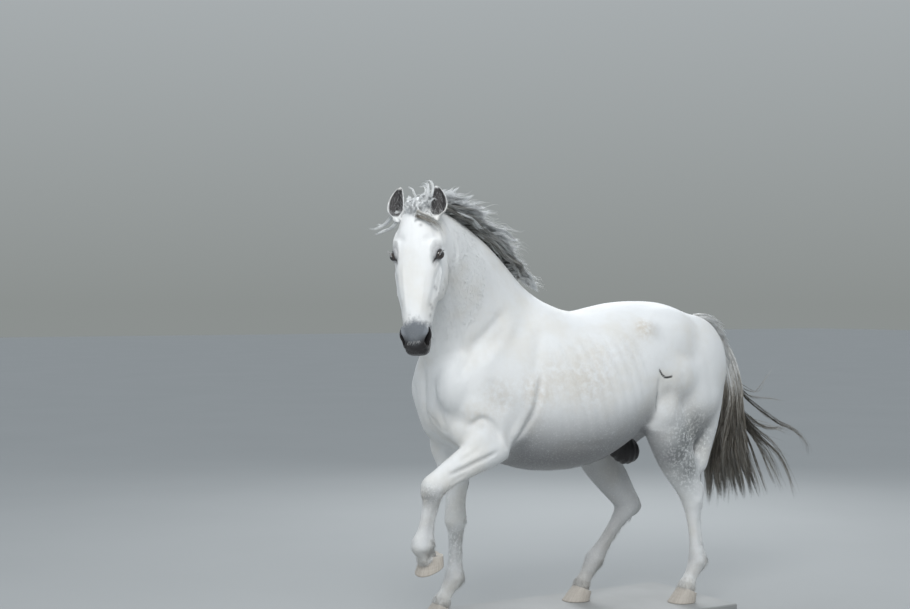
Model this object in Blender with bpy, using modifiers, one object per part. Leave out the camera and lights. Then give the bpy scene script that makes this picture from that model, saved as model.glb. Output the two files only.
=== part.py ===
"""A white stallion at a trot, head turned to the left, as a life-size museum model on a flat base.

Metres, +Z up. The horse looks along -X with its left side toward -Y.
Every form is a table of section sizes lofted along a joint line, a muscle belly or an ellipsoid.
They are filled to one skin, smoothed, thinned, and parted by thin cuts where one body part meets the next.
"""
import math
import bmesh
import bpy
import numpy as np
from mathutils import Matrix

UP = np.array((0.0, 0.0, 1.0))


def unit(v):
    v = np.asarray(v, float)
    return v / np.linalg.norm(v)


def spline(rows, per):
    """Catmull-Rom through the rows of a table, per samples to a span."""
    r = np.asarray(rows, float)
    r = np.vstack((2 * r[0] - r[1], r, 2 * r[-1] - r[-2]))
    out = []
    for i in range(1, len(r) - 2):
        for t in np.arange(per) / per:
            a = 2 * r[i]
            b = r[i + 1] - r[i - 1]
            c = 2 * r[i - 1] - 5 * r[i] + 4 * r[i + 1] - r[i + 2]
            d = 3 * r[i] - r[i - 1] - 3 * r[i + 1] + r[i + 2]
            out.append(0.5 * (a + b * t + c * t * t + d * t ** 3))
    out.append(r[-2])
    return np.array(out)


def section(o, a, b, ra, rb, n, seg):
    """One closed ring: superellipse with its own radius and roundness above and below."""
    t = 2 * math.pi * np.arange(seg) / seg
    c, s = np.cos(t), np.sin(t)
    k = np.where(s > 0, n[0], n[1])
    y = np.where(c > 0, ra[0], ra[1]) * np.sign(c) * np.abs(c) ** (2 / k)
    z = np.where(s > 0, rb[0], rb[1]) * np.sign(s) * np.abs(s) ** (2 / k)
    return o + y[:, None] * a + z[:, None] * b


def skin_rings(bm, rings):
    """Loft a list of rings into one closed mesh."""
    rows = [[bm.verts.new(p) for p in ring] for ring in rings]
    m = len(rows[0])
    for u, v in zip(rows, rows[1:]):
        for i in range(m):
            j = (i + 1) % m
            bm.faces.new((u[i], u[j], v[j], v[i]))
    for row, ring, flip in ((rows[0], rings[0], True), (rows[-1], rings[-1], False)):
        tip = bm.verts.new(np.mean(ring, axis=0))
        for i in range(m):
            j = (i + 1) % m
            f = (row[i], row[j], tip)
            bm.faces.new(f[::-1] if flip else f)


def loft(bm, rows, per=5, seg=28):
    """Table rows: origin 3, across 3, over 3, radii a+ a- b+ b-, roundness above below."""
    tab = spline(rows, per)
    rings = []
    for r in tab:
        a, b = unit(r[3:6]), unit(r[6:9])
        rings.append(section(r[0:3], a, b, r[9:11], r[11:13], np.maximum(r[13:15], 1.1), seg))
    skin_rings(bm, rings)


def ball(bm, at, radii, x=(1, 0, 0), z=(0, 0, 1), sub=3):
    """An ellipsoid with its own x and z directions."""
    x = unit(x)
    z = np.asarray(z, float)
    z = unit(z - x * (z @ x))
    y = np.cross(z, x)
    m = np.eye(4)
    m[:3, 0], m[:3, 1], m[:3, 2], m[:3, 3] = x * radii[0], y * radii[1], z * radii[2], at
    bmesh.ops.create_icosphere(bm, subdivisions=sub, radius=1.0, matrix=Matrix(m.tolist()))


def along(bm, p, q, rp, rq, side, flat=(1.0, 1.0), mid=None, per=4):
    """A muscle or bone belly from p to q: radii at each end and at the middle, flattened."""
    p, q = np.asarray(p, float), np.asarray(q, float)
    d = unit(q - p)
    a = unit(np.asarray(side, float) - d * (np.asarray(side, float) @ d))
    b = np.cross(a, d)
    mid = mid or (rp + rq) / 2 * 1.15
    rows = []
    ends = ((0, rp * 0.25), (0.06, rp * 0.75), (0.2, rp), (0.5, mid), (0.8, rq), (0.94, rq * 0.75))
    for t, r in (*ends, (1, rq * 0.25)):
        rows.append((*(p + (q - p) * t), *a, *b, r * flat[0], r * flat[0], r * flat[1], r * flat[1], 2, 2))
    loft(bm, rows, per, 20)


# ---------------------------------------------------------------- trunk
def trunk(bm):
    tab = (  # x, top, bottom, half width, height of the widest, roundness above and below
        (-0.790, 1.170, 0.960, 0.080, 1.06, 2.0, 2.0),
        (-0.760, 1.230, 0.890, 0.160, 1.06, 2.0, 2.0),
        (-0.700, 1.310, 0.825, 0.215, 1.07, 2.0, 2.1),
        (-0.600, 1.395, 0.765, 0.245, 1.06, 1.9, 2.1),
        (-0.500, 1.450, 0.730, 0.255, 1.04, 1.8, 2.1),
        (-0.400, 1.485, 0.705, 0.265, 1.02, 1.7, 2.0),
        (-0.300, 1.490, 0.675, 0.285, 1.01, 1.7, 2.0),
        (-0.210, 1.465, 0.658, 0.305, 1.01, 1.8, 2.0),
        (-0.100, 1.420, 0.654, 0.322, 1.01, 1.95, 2.0),
        (0.000, 1.402, 0.660, 0.330, 1.02, 2.1, 2.0),
        (0.110, 1.420, 0.685, 0.328, 1.04, 2.15, 2.0),
        (0.220, 1.442, 0.735, 0.315, 1.08, 2.1, 2.0),
        (0.330, 1.452, 0.800, 0.295, 1.12, 2.1, 2.0),
        (0.430, 1.452, 0.870, 0.280, 1.15, 2.1, 2.0),
        (0.530, 1.438, 0.925, 0.262, 1.17, 2.1, 2.0),
        (0.620, 1.408, 0.965, 0.232, 1.18, 2.1, 2.0),
        (0.700, 1.375, 1.000, 0.185, 1.18, 2.0, 2.0),
        (0.760, 1.330, 1.040, 0.125, 1.18, 2.0, 2.0),
        (0.800, 1.260, 1.090, 0.060, 1.18, 2.0, 2.0),
    )
    rows = []
    for x, zt, zb, w, zw, nt, nb in tab:
        rows.append((x, 0, zw, 0, 1, 0, 0, 0, 1, w, w, zt - zw, zw - zb, nt, nb))
    loft(bm, rows, 4, 40)


# ---------------------------------------------------------------- neck
NECK = (  # crest 3, under line 3, half width, roundness crest, roundness below
    (-0.19, 0.000, 1.460, -0.60, 0.000, 0.880, 0.215, 1.9, 2.1),
    (-0.28, -0.005, 1.520, -0.71, -0.005, 1.000, 0.200, 1.8, 2.1),
    (-0.365, -0.035, 1.590, -0.780, -0.025, 1.130, 0.175, 1.75, 2.0),
    (-0.46, -0.085, 1.656, -0.820, -0.060, 1.260, 0.152, 1.75, 2.0),
    (-0.57, -0.145, 1.714, -0.855, -0.115, 1.375, 0.134, 1.8, 2.0),
    (-0.69, -0.200, 1.768, -0.885, -0.170, 1.465, 0.120, 1.85, 2.0),
    (-0.83, -0.270, 1.820, -0.915, -0.225, 1.545, 0.108, 1.9, 2.0),
    (-0.950, -0.325, 1.845, -0.955, -0.280, 1.610, 0.094, 2.0, 2.0),
)


def neck(bm):
    tab = np.array(NECK)
    mid = (tab[:, 0:3] + tab[:, 3:6]) / 2
    rows = []
    for i, r in enumerate(tab):
        t = mid[min(i + 1, len(tab) - 1)] - mid[max(i - 1, 0)]
        b = unit(r[0:3] - r[3:6])
        a = unit(np.cross(b, unit(t)))
        h = np.linalg.norm(r[0:3] - r[3:6]) / 2
        o = mid[i] - b * h * 0.1
        rows.append((*o, *a, *b, r[6], r[6], h * 1.1, h * 0.9, r[7], r[8]))
    loft(bm, rows, 5, 36)


# ---------------------------------------------------------------- head
POLL = np.array((-1.022, -0.359, 1.838))
HEAD_TURN = math.radians(47)
HEAD_PITCH = math.radians(11)
HEAD_ROLL = math.radians(1.5)
HEADING = np.array((-math.cos(HEAD_TURN), -math.sin(HEAD_TURN), 0.0))
H_N = math.cos(HEAD_PITCH) * HEADING + math.sin(HEAD_PITCH) * UP      # out of the forehead
H_0 = math.sin(HEAD_PITCH) * HEADING - math.cos(HEAD_PITCH) * UP
H_1 = np.cross(UP, HEADING)
H_A = math.cos(HEAD_ROLL) * H_0 + math.sin(HEAD_ROLL) * H_1           # poll to muzzle
H_L = math.cos(HEAD_ROLL) * H_1 - math.sin(HEAD_ROLL) * H_0           # the horse's left


def hp(a, n, s=0.0):
    return POLL + a * H_A + n * H_N + s * H_L


def head(bm):
    tab = (  # along, dorsal, ventral, half width, level of the widest, roundness
        (-0.045, 0.000, -0.120, 0.030, -0.05, 2.0, 2.0),
        (-0.020, 0.020, -0.150, 0.058, -0.05, 2.0, 2.0),
        (0.030, 0.034, -0.180, 0.078, -0.05, 2.1, 2.0),
        (0.090, 0.044, -0.215, 0.087, -0.05, 2.4, 2.0),
        (0.150, 0.048, -0.240, 0.092, -0.05, 2.7, 2.0),
        (0.210, 0.046, -0.250, 0.094, -0.05, 2.8, 1.9),
        (0.267, 0.041, -0.240, 0.096, -0.05, 2.7, 1.8),
        (0.325, 0.036, -0.214, 0.091, -0.05, 2.5, 1.8),
        (0.382, 0.033, -0.180, 0.083, -0.05, 2.3, 1.9),
        (0.430, 0.030, -0.150, 0.071, -0.05, 2.2, 2.0),
        (0.478, 0.027, -0.132, 0.063, -0.05, 2.1, 2.2),
        (0.526, 0.020, -0.122, 0.058, -0.05, 2.2, 2.3),
        (0.564, 0.008, -0.116, 0.057, -0.05, 2.3, 2.4),
        (0.598, -0.014, -0.105, 0.053, -0.055, 2.4, 2.4),
        (0.618, -0.038, -0.085, 0.039, -0.06, 2.6, 2.6),
    )
    rows = []
    for a, nt, nb, w, nw, kt, kb in tab:
        rows.append((*hp(a, nw), *H_L, *H_N, w, w, nt - nw, nw - nb, kt, kb))
    loft(bm, rows, 5, 32)
    for s in (-1, 1):
        ball(bm, hp(0.195, 0.006, s * 0.084), (0.050, 0.030, 0.030), H_A, H_L)       # brow
        ball(bm, hp(0.212, -0.012, s * 0.084), (0.034, 0.028, 0.027), H_A, H_L)      # orbit
        along(bm, hp(0.09, -0.03, s * 0.074), hp(0.19, -0.02, s * 0.092), 0.022, 0.022, H_L)
        along(bm, hp(0.235, -0.055, s * 0.086), hp(0.40, -0.045, s * 0.064), 0.020, 0.012, H_L)
        ball(bm, hp(0.245, -0.135, s * 0.064), (0.135, 0.098, 0.042), H_A, H_L)      # cheek
        ball(bm, hp(0.533, -0.028, s * 0.046), (0.034, 0.034, 0.022), H_A, H_L)      # nostril
    ball(bm, hp(0.579, -0.045, 0), (0.036, 0.045, 0.049), H_A, H_L)                  # upper lip
    ball(bm, hp(0.579, -0.100, 0), (0.034, 0.036, 0.038), H_A, H_L)                  # chin


def ear_frame(s):
    base = hp(0.048, 0.005, s * 0.083)
    up = unit(-H_A * 1.0 + H_L * s * 0.03 - H_N * 0.10)
    face = unit(H_N * 0.95 + H_L * s * 0.08)
    face = unit(face - up * (face @ up))
    return base, up, face, np.cross(up, face)


EAR_LEN = 0.138


def ear(bm, s, per=2, seg=12):
    """A leaf-shaped cup, open to the front."""
    base, up, face, wide = ear_frame(s)
    tab = ((-0.02, 0.026, 0.030), (0.10, 0.032, 0.028), (0.25, 0.036, 0.024), (0.45, 0.038, 0.020),
           (0.65, 0.032, 0.016), (0.82, 0.021, 0.011), (0.94, 0.010, 0.007), (1.0, 0.003, 0.003))
    rows = []
    for t, w, d in tab:
        o = base + up * (t * EAR_LEN)
        rows.append((*o, *wide, *face, w, w, d * 0.35, d, 2.0, 2.0))
    loft(bm, rows, per, seg)


# ---------------------------------------------------------------- limbs
def limb(bm, rows, side=(0, -1, 0), fore=(-1, 0, 0), per=4, seg=24):
    """rows: centre 3, half breadth, reach forward, reach back."""
    p = np.array([r[:3] for r in rows], float)
    out = []
    for i, r in enumerate(rows):
        t = unit(p[min(i + 1, len(p) - 1)] - p[max(i - 1, 0)])
        b = np.asarray(r[6:9] if len(r) > 6 else fore, float)
        b = unit(b - t * (b @ t))
        a = unit(np.cross(b, t))
        out.append((*p[i], *a, *b, r[3], r[3], r[4], r[5], 2.1, 2.1))
    loft(bm, out, per, seg)


def chain(points, marks):
    """Rows of a limb: marks give segment + fraction, breadth, forward, back, optional fore axis."""
    pts = [np.asarray(p, float) for p in points]
    rows = []
    for m in marks:
        i = min(int(m[0]), len(pts) - 2)
        t = m[0] - i
        rows.append((*(pts[i] * (1 - t) + pts[i + 1] * t), *m[1:]))
    return rows


OFF_FORE_MARKS = (  # elbow 0, knee 1, fetlock 2, coronet 3
    (0.00, 0.075, 0.158, 0.088), (0.20, 0.072, 0.148, 0.080), (0.40, 0.062, 0.106, 0.066),
    (0.60, 0.052, 0.068, 0.054), (0.78, 0.046, 0.054, 0.046), (0.90, 0.049, 0.053, 0.050),
    (1.00, 0.052, 0.054, 0.053), (1.12, 0.046, 0.046, 0.046), (1.25, 0.034, 0.035, 0.041),
    (1.50, 0.029, 0.030, 0.041), (1.75, 0.031, 0.031, 0.043), (1.90, 0.042, 0.039, 0.050),
    (2.00, 0.045, 0.043, 0.054), (2.20, 0.038, 0.038, 0.044), (2.50, 0.034, 0.035, 0.036),
    (2.75, 0.040, 0.040, 0.038), (3.00, 0.040, 0.040, 0.036),
)
NEAR_FORE_MARKS = (
    (0.00, 0.075, 0.100, 0.088), (0.20, 0.072, 0.098, 0.080), (0.40, 0.064, 0.088, 0.067),
    (0.60, 0.056, 0.080, 0.054), (0.78, 0.051, 0.074, 0.044), (0.90, 0.053, 0.068, 0.043),
    (1.00, 0.056, 0.064, 0.048), (1.12, 0.049, 0.056, 0.044), (1.25, 0.035, 0.040, 0.041),
    (1.50, 0.029, 0.034, 0.039), (1.75, 0.032, 0.036, 0.045), (1.90, 0.043, 0.048, 0.060),
    (2.00, 0.046, 0.052, 0.064), (2.20, 0.040, 0.046, 0.052), (2.50, 0.037, 0.040, 0.042),
    (2.75, 0.041, 0.042, 0.040), (3.00, 0.041, 0.042, 0.038),
)
HIND_MARKS = (  # stifle 0, hock 1, fetlock 2, coronet 3
    (0.00, 0.080, 0.090, 0.130), (0.25, 0.080, 0.094, 0.125), (0.50, 0.070, 0.094, 0.106),
    (0.70, 0.058, 0.080, 0.092), (0.85, 0.050, 0.066, 0.080), (1.00, 0.052, 0.060, 0.066),
    (1.12, 0.048, 0.051, 0.053), (1.25, 0.038, 0.040, 0.042), (1.50, 0.031, 0.032, 0.038),
    (1.75, 0.032, 0.032, 0.040), (1.90, 0.041, 0.038, 0.049), (2.00, 0.045, 0.042, 0.053),
    (2.20, 0.038, 0.038, 0.044), (2.50, 0.034, 0.035, 0.037), (2.75, 0.039, 0.040, 0.038),
    (3.00, 0.039, 0.040, 0.036),
)


def hoof(bm, centre, toe, down, half=0.064, front=0.074, back=0.052, high=0.080, lean=0.55, heel=0.45,
         seg=20):
    """Hoof capsule on its sole: centre of the sole, toe direction, way down."""
    toe, down = unit(toe), unit(down)
    toe = unit(toe - down * (toe @ down))
    side = unit(np.cross(down, toe))
    rings = []
    for t in (0.0, 0.12, 0.55, 1.0):
        k = 1 - 0.24 * t
        reach = (front * (1 - 0.34 * t), back * (1 - 0.08 * t))
        ring = section(np.zeros(3), side, toe, (half * k,) * 2, reach, (2.2, 2.6), seg)
        f = ring @ toe
        span = np.clip((f + back) / (front + back), 0, 1)
        h = t * high * (heel + (1 - heel) * span)
        rings.append(centre + ring - down * h[:, None] - toe * (h * lean)[:, None])
    skin_rings(bm, rings)


OFF_FORE = dict(elbow=(-0.505, 0.170, 0.825), knee=(-0.552, 0.125, 0.445), fetlock=(-0.568, 0.120, 0.178),
                coronet=(-0.640, 0.120, 0.052), sole=(-0.658, 0.120, 0.0))
NEAR_FORE = dict(elbow=(-0.515, -0.190, 0.822), knee=(-0.848, -0.190, 0.636),
                 fetlock=(-0.900, -0.178, 0.392), coronet=(-0.853, -0.154, 0.320), sole=(-0.836, -0.145, 0.289))
NEAR_HIND = dict(stifle=(0.355, -0.205, 0.905), hock=(0.602, -0.158, 0.505), fetlock=(0.640, -0.152, 0.190),
                 coronet=(0.568, -0.150, 0.052), sole=(0.552, -0.150, 0.0))
OFF_HIND = dict(stifle=(0.165, 0.200, 0.850), hock=(0.447, 0.148, 0.435), fetlock=(0.235, 0.142, 0.190),
                coronet=(0.155, 0.140, 0.052), sole=(0.138, 0.140, 0.0))
NEAR_TOE = (-0.91, 0.05, -0.42)
NEAR_DOWN = (0.42, 0.12, -0.90)


def fore_leg(bm, j, s):
    """s is -1 for the near side and 1 for the off side."""
    p = [np.asarray(j[k], float) for k in ("elbow", "knee", "fetlock", "coronet")]
    limb(bm, chain(p, NEAR_FORE_MARKS if s < 0 else OFF_FORE_MARKS))
    e, k, f, c = p
    d = unit(k - e)
    fwd = unit(np.array((-1.0, 0, 0)) - d * (-d[0]))
    out = np.array((0, s, 0.0))
    top = e + np.array((0.02, -s * 0.02, 0.10))
    along(bm, e + fwd * 0.058 - d * 0.005, e + d * 0.22 + fwd * 0.034 + out * 0.008, 0.086, 0.040, out,
          (0.78, 1.05), 0.070)
    heel = e - d * 0.04 - fwd * 0.040
    along(bm, heel, e + d * 0.24 - fwd * 0.026 + out * 0.008, 0.050, 0.030, out, (0.9, 1.0))
    along(bm, top, e + d * 0.10, 0.085, 0.070, out, (0.75, 1.0))
    ball(bm, k - fwd * 0.028 - d * 0.010, (0.024, 0.028, 0.028))
    ball(bm, k + fwd * 0.014 + d * 0.008, (0.042, 0.046, 0.044))


def hind_leg(bm, j, s):
    p = [np.asarray(j[k], float) for k in ("stifle", "hock", "fetlock", "coronet")]
    limb(bm, chain(p, HIND_MARKS))
    st, h, f, c = p
    d = unit(h - st)
    back = unit(np.array((1.0, 0, 0)) - d * d[0])
    cd = unit(f - h)
    up = -cd
    rear = unit(np.array((1.0, 0, 0)) - cd * cd[0])
    point = h + rear * 0.062 + up * 0.062
    along(bm, h + rear * 0.035 - up * 0.03, point, 0.028, 0.024, (0, 1, 0), (0.85, 1.0))
    along(bm, st + d * 0.14 + back * 0.090, point, 0.035, 0.014, (0, 1, 0), (0.8, 1.0))
    ball(bm, h - rear * 0.010, (0.046, 0.044, 0.050))
    return point


def shoulders(bm):
    for s in (-1, 1):
        e = np.asarray((NEAR_FORE if s < 0 else OFF_FORE)["elbow"], float)
        pt = np.array((-0.718, -0.140, 1.065)) if s < 0 else np.array((-0.690, 0.135, 1.050))
        low = pt + np.array((0.03, 0, 0))
        along(bm, (-0.36, s * 0.110, 1.38), low, 0.070, 0.095, (0, 1, 0), (0.75, 1.4), 0.100)
        ball(bm, pt, (0.085, 0.080, 0.120))
        along(bm, low, e + np.array((0.02, 0, 0.03)), 0.095, 0.092, (0, 1, 0), (0.85, 1.1), 0.100)
        low = e + np.array((0.03, 0, 0.04))
        along(bm, (-0.40, s * 0.165, 1.18), low, 0.100, 0.070, (0, 1, 0), (0.75, 1.3), 0.115)
        low = e + np.array((0.055, s * 0.012, -0.010))
        along(bm, (-0.36, s * 0.200, 1.06), low, 0.050, 0.048, (0, 1, 0), (0.8, 1.2), 0.062)
        ball(bm, (-0.690, s * 0.080, 0.960), (0.085, 0.085, 0.130))
        ball(bm, e + np.array((-0.10, -s * 0.06, 0.06)), (0.12, 0.09, 0.10))


def quarters(bm):
    for s, j in ((-1, NEAR_HIND), (1, OFF_HIND)):
        st, h = np.asarray(j["stifle"], float), np.asarray(j["hock"], float)
        ball(bm, (0.285, s * 0.215, 1.305), (0.075, 0.050, 0.060))                  # point of hip
        ball(bm, (0.42, s * 0.130, 1.240), (0.26, 0.145, 0.190))                    # gluteals
        ball(bm, (0.61, s * 0.135, 1.130), (0.215, 0.130, 0.260))                   # biceps of the thigh
        low = st + np.array((0.02, 0, 0.02))
        along(bm, (0.44, s * 0.160, 1.20), low, 0.170, 0.105, (0, 1, 0), (0.70, 1.25), 0.165)
        low = h + np.array((0.044, 0, 0.104))
        if s > 0:
            low = st * 0.45 + h * 0.55 + np.array((0.075, 0, 0.055))
        along(bm, (0.765, s * 0.110, 1.16), low, 0.080, 0.050, (0, 1, 0), (0.9, 1.1), 0.076)
        low = st * 0.5 + h * 0.5 + np.array((0.03, 0, 0.05))
        along(bm, (0.62, s * 0.140, 1.12), low, 0.150, 0.080, (0, 1, 0), (0.75, 1.3), 0.135)
        ball(bm, st + np.array((0.02, s * 0.01, 0.02)), (0.090, 0.080, 0.110))
    along(bm, (0.56, 0, 1.36), (0.785, 0, 1.310), 0.060, 0.036, (0, 1, 0))             # root of the tail


def sheath(bm):
    along(bm, (0.225, 0, 0.738), (0.405, 0, 0.716), 0.052, 0.064, (0, 1, 0), (0.80, 1.0), 0.076)


# ---------------------------------------------------------------- hair
def crest(t):
    """Point of the crest: 0 at the poll, 1 at the withers."""
    tab = np.vstack((POLL - 0.02 * H_A - 0.01 * H_N, np.array(NECK)[::-1, :3]))[:-1]
    pts = spline(tab, 8)
    u = np.clip(t, 0, 1) * (len(pts) - 1)
    i = min(int(u), len(pts) - 2)
    return pts[i] * (1 - u + i) + pts[i + 1] * (u - i)


def crest_frame(t):
    back = unit(crest(t + 0.04) - crest(t - 0.04))
    side = unit(np.cross(UP, back))
    return back, side, np.cross(back, side)


def lock(bm, path, wide, thick, side, tip=0.12, per=5, seg=8):
    """A tapering lock of hair along a few points."""
    pts = spline(path, per)
    n = len(pts)
    rings = []
    for i, p in enumerate(pts):
        t = i / (n - 1)
        d = unit(pts[min(i + 1, n - 1)] - pts[max(i - 1, 0)])
        a = unit(np.asarray(side, float) - d * (np.asarray(side, float) @ d))
        b = np.cross(a, d)
        w = (0.65 + 0.35 * math.sin(math.pi * min(1, t * 1.6))) * (1 - (1 - tip) * t ** 2.2)
        rings.append(section(p, a, b, (thick * w,) * 2, (wide * w,) * 2, (2, 2), seg))
    skin_rings(bm, rings)


MANE_RISE = ((0.0, 0.005), (0.10, 0.022), (0.20, 0.054), (0.30, 0.084), (0.45, 0.114), (0.60, 0.130),
             (0.75, 0.126), (0.9, 0.102), (1.0, 0.072))


def mane_rise(t):
    x, y = np.array(MANE_RISE).T
    return float(np.interp(t, x, y))


def mane_path(t, reach=1.0, rise=1.0, lean=0.0):
    """One lock: out of the crest, then streaming back along it."""
    p = crest(t)
    back, side, up = crest_frame(t)
    h = mane_rise(min(1, t + 0.12)) * rise
    mid, far = crest(t + 0.12 * reach), crest(t + 0.26 * reach)
    off = side * 0.03
    return (p - up * 0.012, p + up * h * 0.45 + back * 0.02 + off * (0.4 + lean),
            mid + up * h * 0.95 + off * (0.9 + lean), far + up * h * 0.95 + off * (1.1 + lean))


def mane(bm):
    count = 17
    for i in range(count):
        t = i / (count - 1) * 0.86
        wob = math.sin(i * 2.4)
        path = mane_path(t, 0.75 + 0.15 * math.sin(i * 1.7), 1.0 + 0.22 * wob, 0.5 * math.sin(i * 1.3))
        lock(bm, path, 0.044, 0.022, crest_frame(t)[1], 0.25)


def forelock(bm):
    top = hp(-0.005, 0.030)
    for wide, thick, a, b, c in (
            (0.022, 0.011, (0.03, 0.052, 0.030), (0.065, 0.04, 0.080), (0.105, -0.01, 0.104)),
            (0.022, 0.011, (0.02, 0.050, 0.050), (0.050, 0.02, 0.096), (0.080, -0.04, 0.112)),
            (0.032, 0.016, (-0.02, 0.045, -0.02), (-0.035, 0.03, 0.01), (-0.062, 0.0, 0.04)),
            (0.022, 0.010, (0.02, 0.046, -0.04), (0.075, 0.02, -0.102), (0.105, -0.05, -0.165))):
        lock(bm, (top, hp(*a), hp(*b), hp(*c)), wide, thick, H_N)
    across = (hp(-0.02, 0.0, -0.02), hp(-0.035, 0.01, 0.0), hp(-0.03, 0.0, 0.04), hp(-0.02, -0.04, 0.07))
    lock(bm, across, 0.034, 0.022, H_N)


DOCK = ((0.690, 0.000, 1.368), (0.760, 0.002, 1.362), (0.840, 0.006, 1.325), (0.900, 0.010, 1.245),
        (0.930, 0.012, 1.150), (0.940, 0.014, 1.050))


def dock_at(t):
    pts = spline(DOCK, 6)
    u = np.clip(t, 0, 1) * (len(pts) - 1)
    i = min(int(u), len(pts) - 2)
    return pts[i] * (1 - u + i) + pts[i + 1] * (u - i)


def tail_path(t, out, spread, length, curl=0.0):
    """A lock of the tail: t along the dock, out backwards, spread sideways."""
    p = dock_at(t)
    low = max(0.36, p[2] - length)
    x = 0.90 + out * 0.10
    return (p, np.array((p[0] + 0.035 + out * 0.04, p[1] + spread * 0.35, p[2] - (p[2] - low) * 0.18)),
            np.array((x + out * 0.05, spread * 0.8, p[2] - (p[2] - low) * 0.50)),
            np.array((x + out * 0.08 + curl * 0.3, spread, p[2] - (p[2] - low) * 0.80)),
            np.array((x + out * 0.11 + curl, spread * 1.05, low)))


def tail(bm):
    for i in range(15):
        a = i * 2.4
        r = math.sqrt((i + 0.5) / 15)
        out, spread = math.cos(a) * r, math.sin(a) * r * 0.095
        t = 0.35 + 0.6 * ((i * 7) % 15) / 15
        lock(bm, tail_path(t, out, spread, 0.78 + 0.10 * math.sin(i)), 0.050, 0.042, (0, 1, 0), 0.35, seg=10)
    lock(bm, DOCK[1:], 0.050, 0.044, (0, 1, 0), 0.6)
    for z, x, w in ((0.93, 1.48, 0.05), (0.72, 1.47, -0.02), (0.57, 1.27, 0.03), (0.44, 1.37, 0.0)):
        far = ((1.05, 0.03, 0.5 * z + 0.43), (0.5 * x + 0.56, 0.03 + w, z + 0.06), (x, 0.03 + w, z))
        lock(bm, ((0.95, 0.02, 1.06), *far), 0.024, 0.020, (0, 1, 0), 0.50, per=8)


def body(bm):
    trunk(bm)
    neck(bm)
    head(bm)
    shoulders(bm)
    quarters(bm)
    sheath(bm)
    fore_leg(bm, OFF_FORE, 1)
    fore_leg(bm, NEAR_FORE, -1)
    hind_leg(bm, NEAR_HIND, -1)
    hind_leg(bm, OFF_HIND, 1)


# ---------------------------------------------------------------- making solids
VOXEL = 0.010          # metres, the fill of the body
GAP = 0.0003           # metres, between neighbours
EYE_R = 0.0215         # radius of an eyeball
BASE = (1.60, 0.64, 0.030)
BASE_AT = (-0.05, 0.0)
SHIFT = (-0.16900, 0.07689, 0.030)


def link(name, bm):
    me = bpy.data.meshes.new(name)
    bmesh.ops.recalc_face_normals(bm, faces=bm.faces)
    bm.to_mesh(me)
    bm.free()
    ob = bpy.data.objects.new(name, me)
    bpy.context.scene.collection.objects.link(ob)
    return ob


def bake(ob):
    """Keep the modifiers' result as the mesh."""
    dg = bpy.context.evaluated_depsgraph_get()
    me = bpy.data.meshes.new_from_object(ob.evaluated_get(dg))
    ob.modifiers.clear()
    ob.data = me
    return ob


def coords(me):
    co = np.empty(len(me.vertices) * 3)
    me.vertices.foreach_get("co", co)
    return co.reshape(-1, 3)


def relax(co, ed, rounds):
    """Average each point with its neighbours, as many rounds as it is given."""
    n = len(co)
    deg = np.bincount(ed.ravel(), minlength=n)[:, None]
    for k in range(int(math.ceil(rounds.max()))):
        acc = np.empty_like(co)
        for i in range(3):
            acc[:, i] = np.bincount(ed[:, 0], co[ed[:, 1], i], n) + np.bincount(ed[:, 1], co[ed[:, 0], i], n)
        w = np.clip(rounds - k, 0, 1)[:, None] * 0.6
        co = co * (1 - w) + acc / deg * w
    return co


def body_rounds(co):
    """Smooth the broad masses more than the head and the lower limbs."""
    x, y, z = co.T
    w = np.full(len(co), 22.0)
    hd = np.linalg.norm(co - hp(0.3, -0.08), axis=1)
    w = np.minimum(w, 1.5 + np.clip((hd - 0.40) / 0.25, 0, 1) * 25)
    for j in (OFF_FORE, NEAR_FORE):
        e, k = np.array(j["elbow"]), np.array(j["knee"])
        d = unit(k - e)
        t = (co - e) @ d
        r = np.linalg.norm(co - e - t[:, None] * d, axis=1)
        near = (t > 0) & (r < 0.35) & (np.sign(e[1]) * y > 0)
        w = np.where(near, np.minimum(w, 2 + np.clip((0.22 - t) / 0.2, 0, 1) * 8), w)
    for j in (NEAR_HIND, OFF_HIND):
        s = np.sign(j["stifle"][1])
        leg = (z < 0.84) & (s * y > 0.04) & (x > 0.1)
        w = np.where(leg, np.minimum(w, 2 + np.clip((z - 0.56) / 0.28, 0, 1) * 14), w)
    return np.where(z < 0.62, np.minimum(w, 2), w)


def filled(name, make, voxel, rounds, faces, fine=None):
    """One closed skin round the shapes: filled, smoothed and thinned to about so many triangles."""
    bm = bmesh.new()
    make(bm)
    ob = link(name, bm)
    m = ob.modifiers.new("fill", "REMESH")
    m.mode = "VOXEL"
    m.voxel_size = voxel
    bake(ob)
    me = ob.data
    ed = np.empty(len(me.edges) * 2, int)
    me.edges.foreach_get("vertices", ed)
    co = relax(coords(me), ed.reshape(-1, 2), rounds(coords(me)))
    me.vertices.foreach_set("co", co.ravel())
    me.update()
    largest(ob)
    m = ob.modifiers.new("thin", "DECIMATE")
    m.ratio = faces / (2 * len(ob.data.polygons))
    if fine is not None:
        g = ob.vertex_groups.new(name="coarse")
        for i, w in enumerate(fine(coords(ob.data))):
            g.add((i,), float(w), "REPLACE")
        m.vertex_group = "coarse"
        m.vertex_group_factor = 1.0
    bake(ob)
    ob.vertex_groups.clear()
    return ob


def islands(me):
    """Label each vertex with the number of its connected piece."""
    n = len(me.vertices)
    ed = np.empty(len(me.edges) * 2, int)
    me.edges.foreach_get("vertices", ed)
    a, b = ed.reshape(-1, 2).T
    lab = np.arange(n)
    while True:
        new = lab.copy()
        np.minimum.at(new, a, lab[b])
        np.minimum.at(new, b, lab[a])
        new = new[new]
        if (new == lab).all():
            return lab
        lab = new


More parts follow.
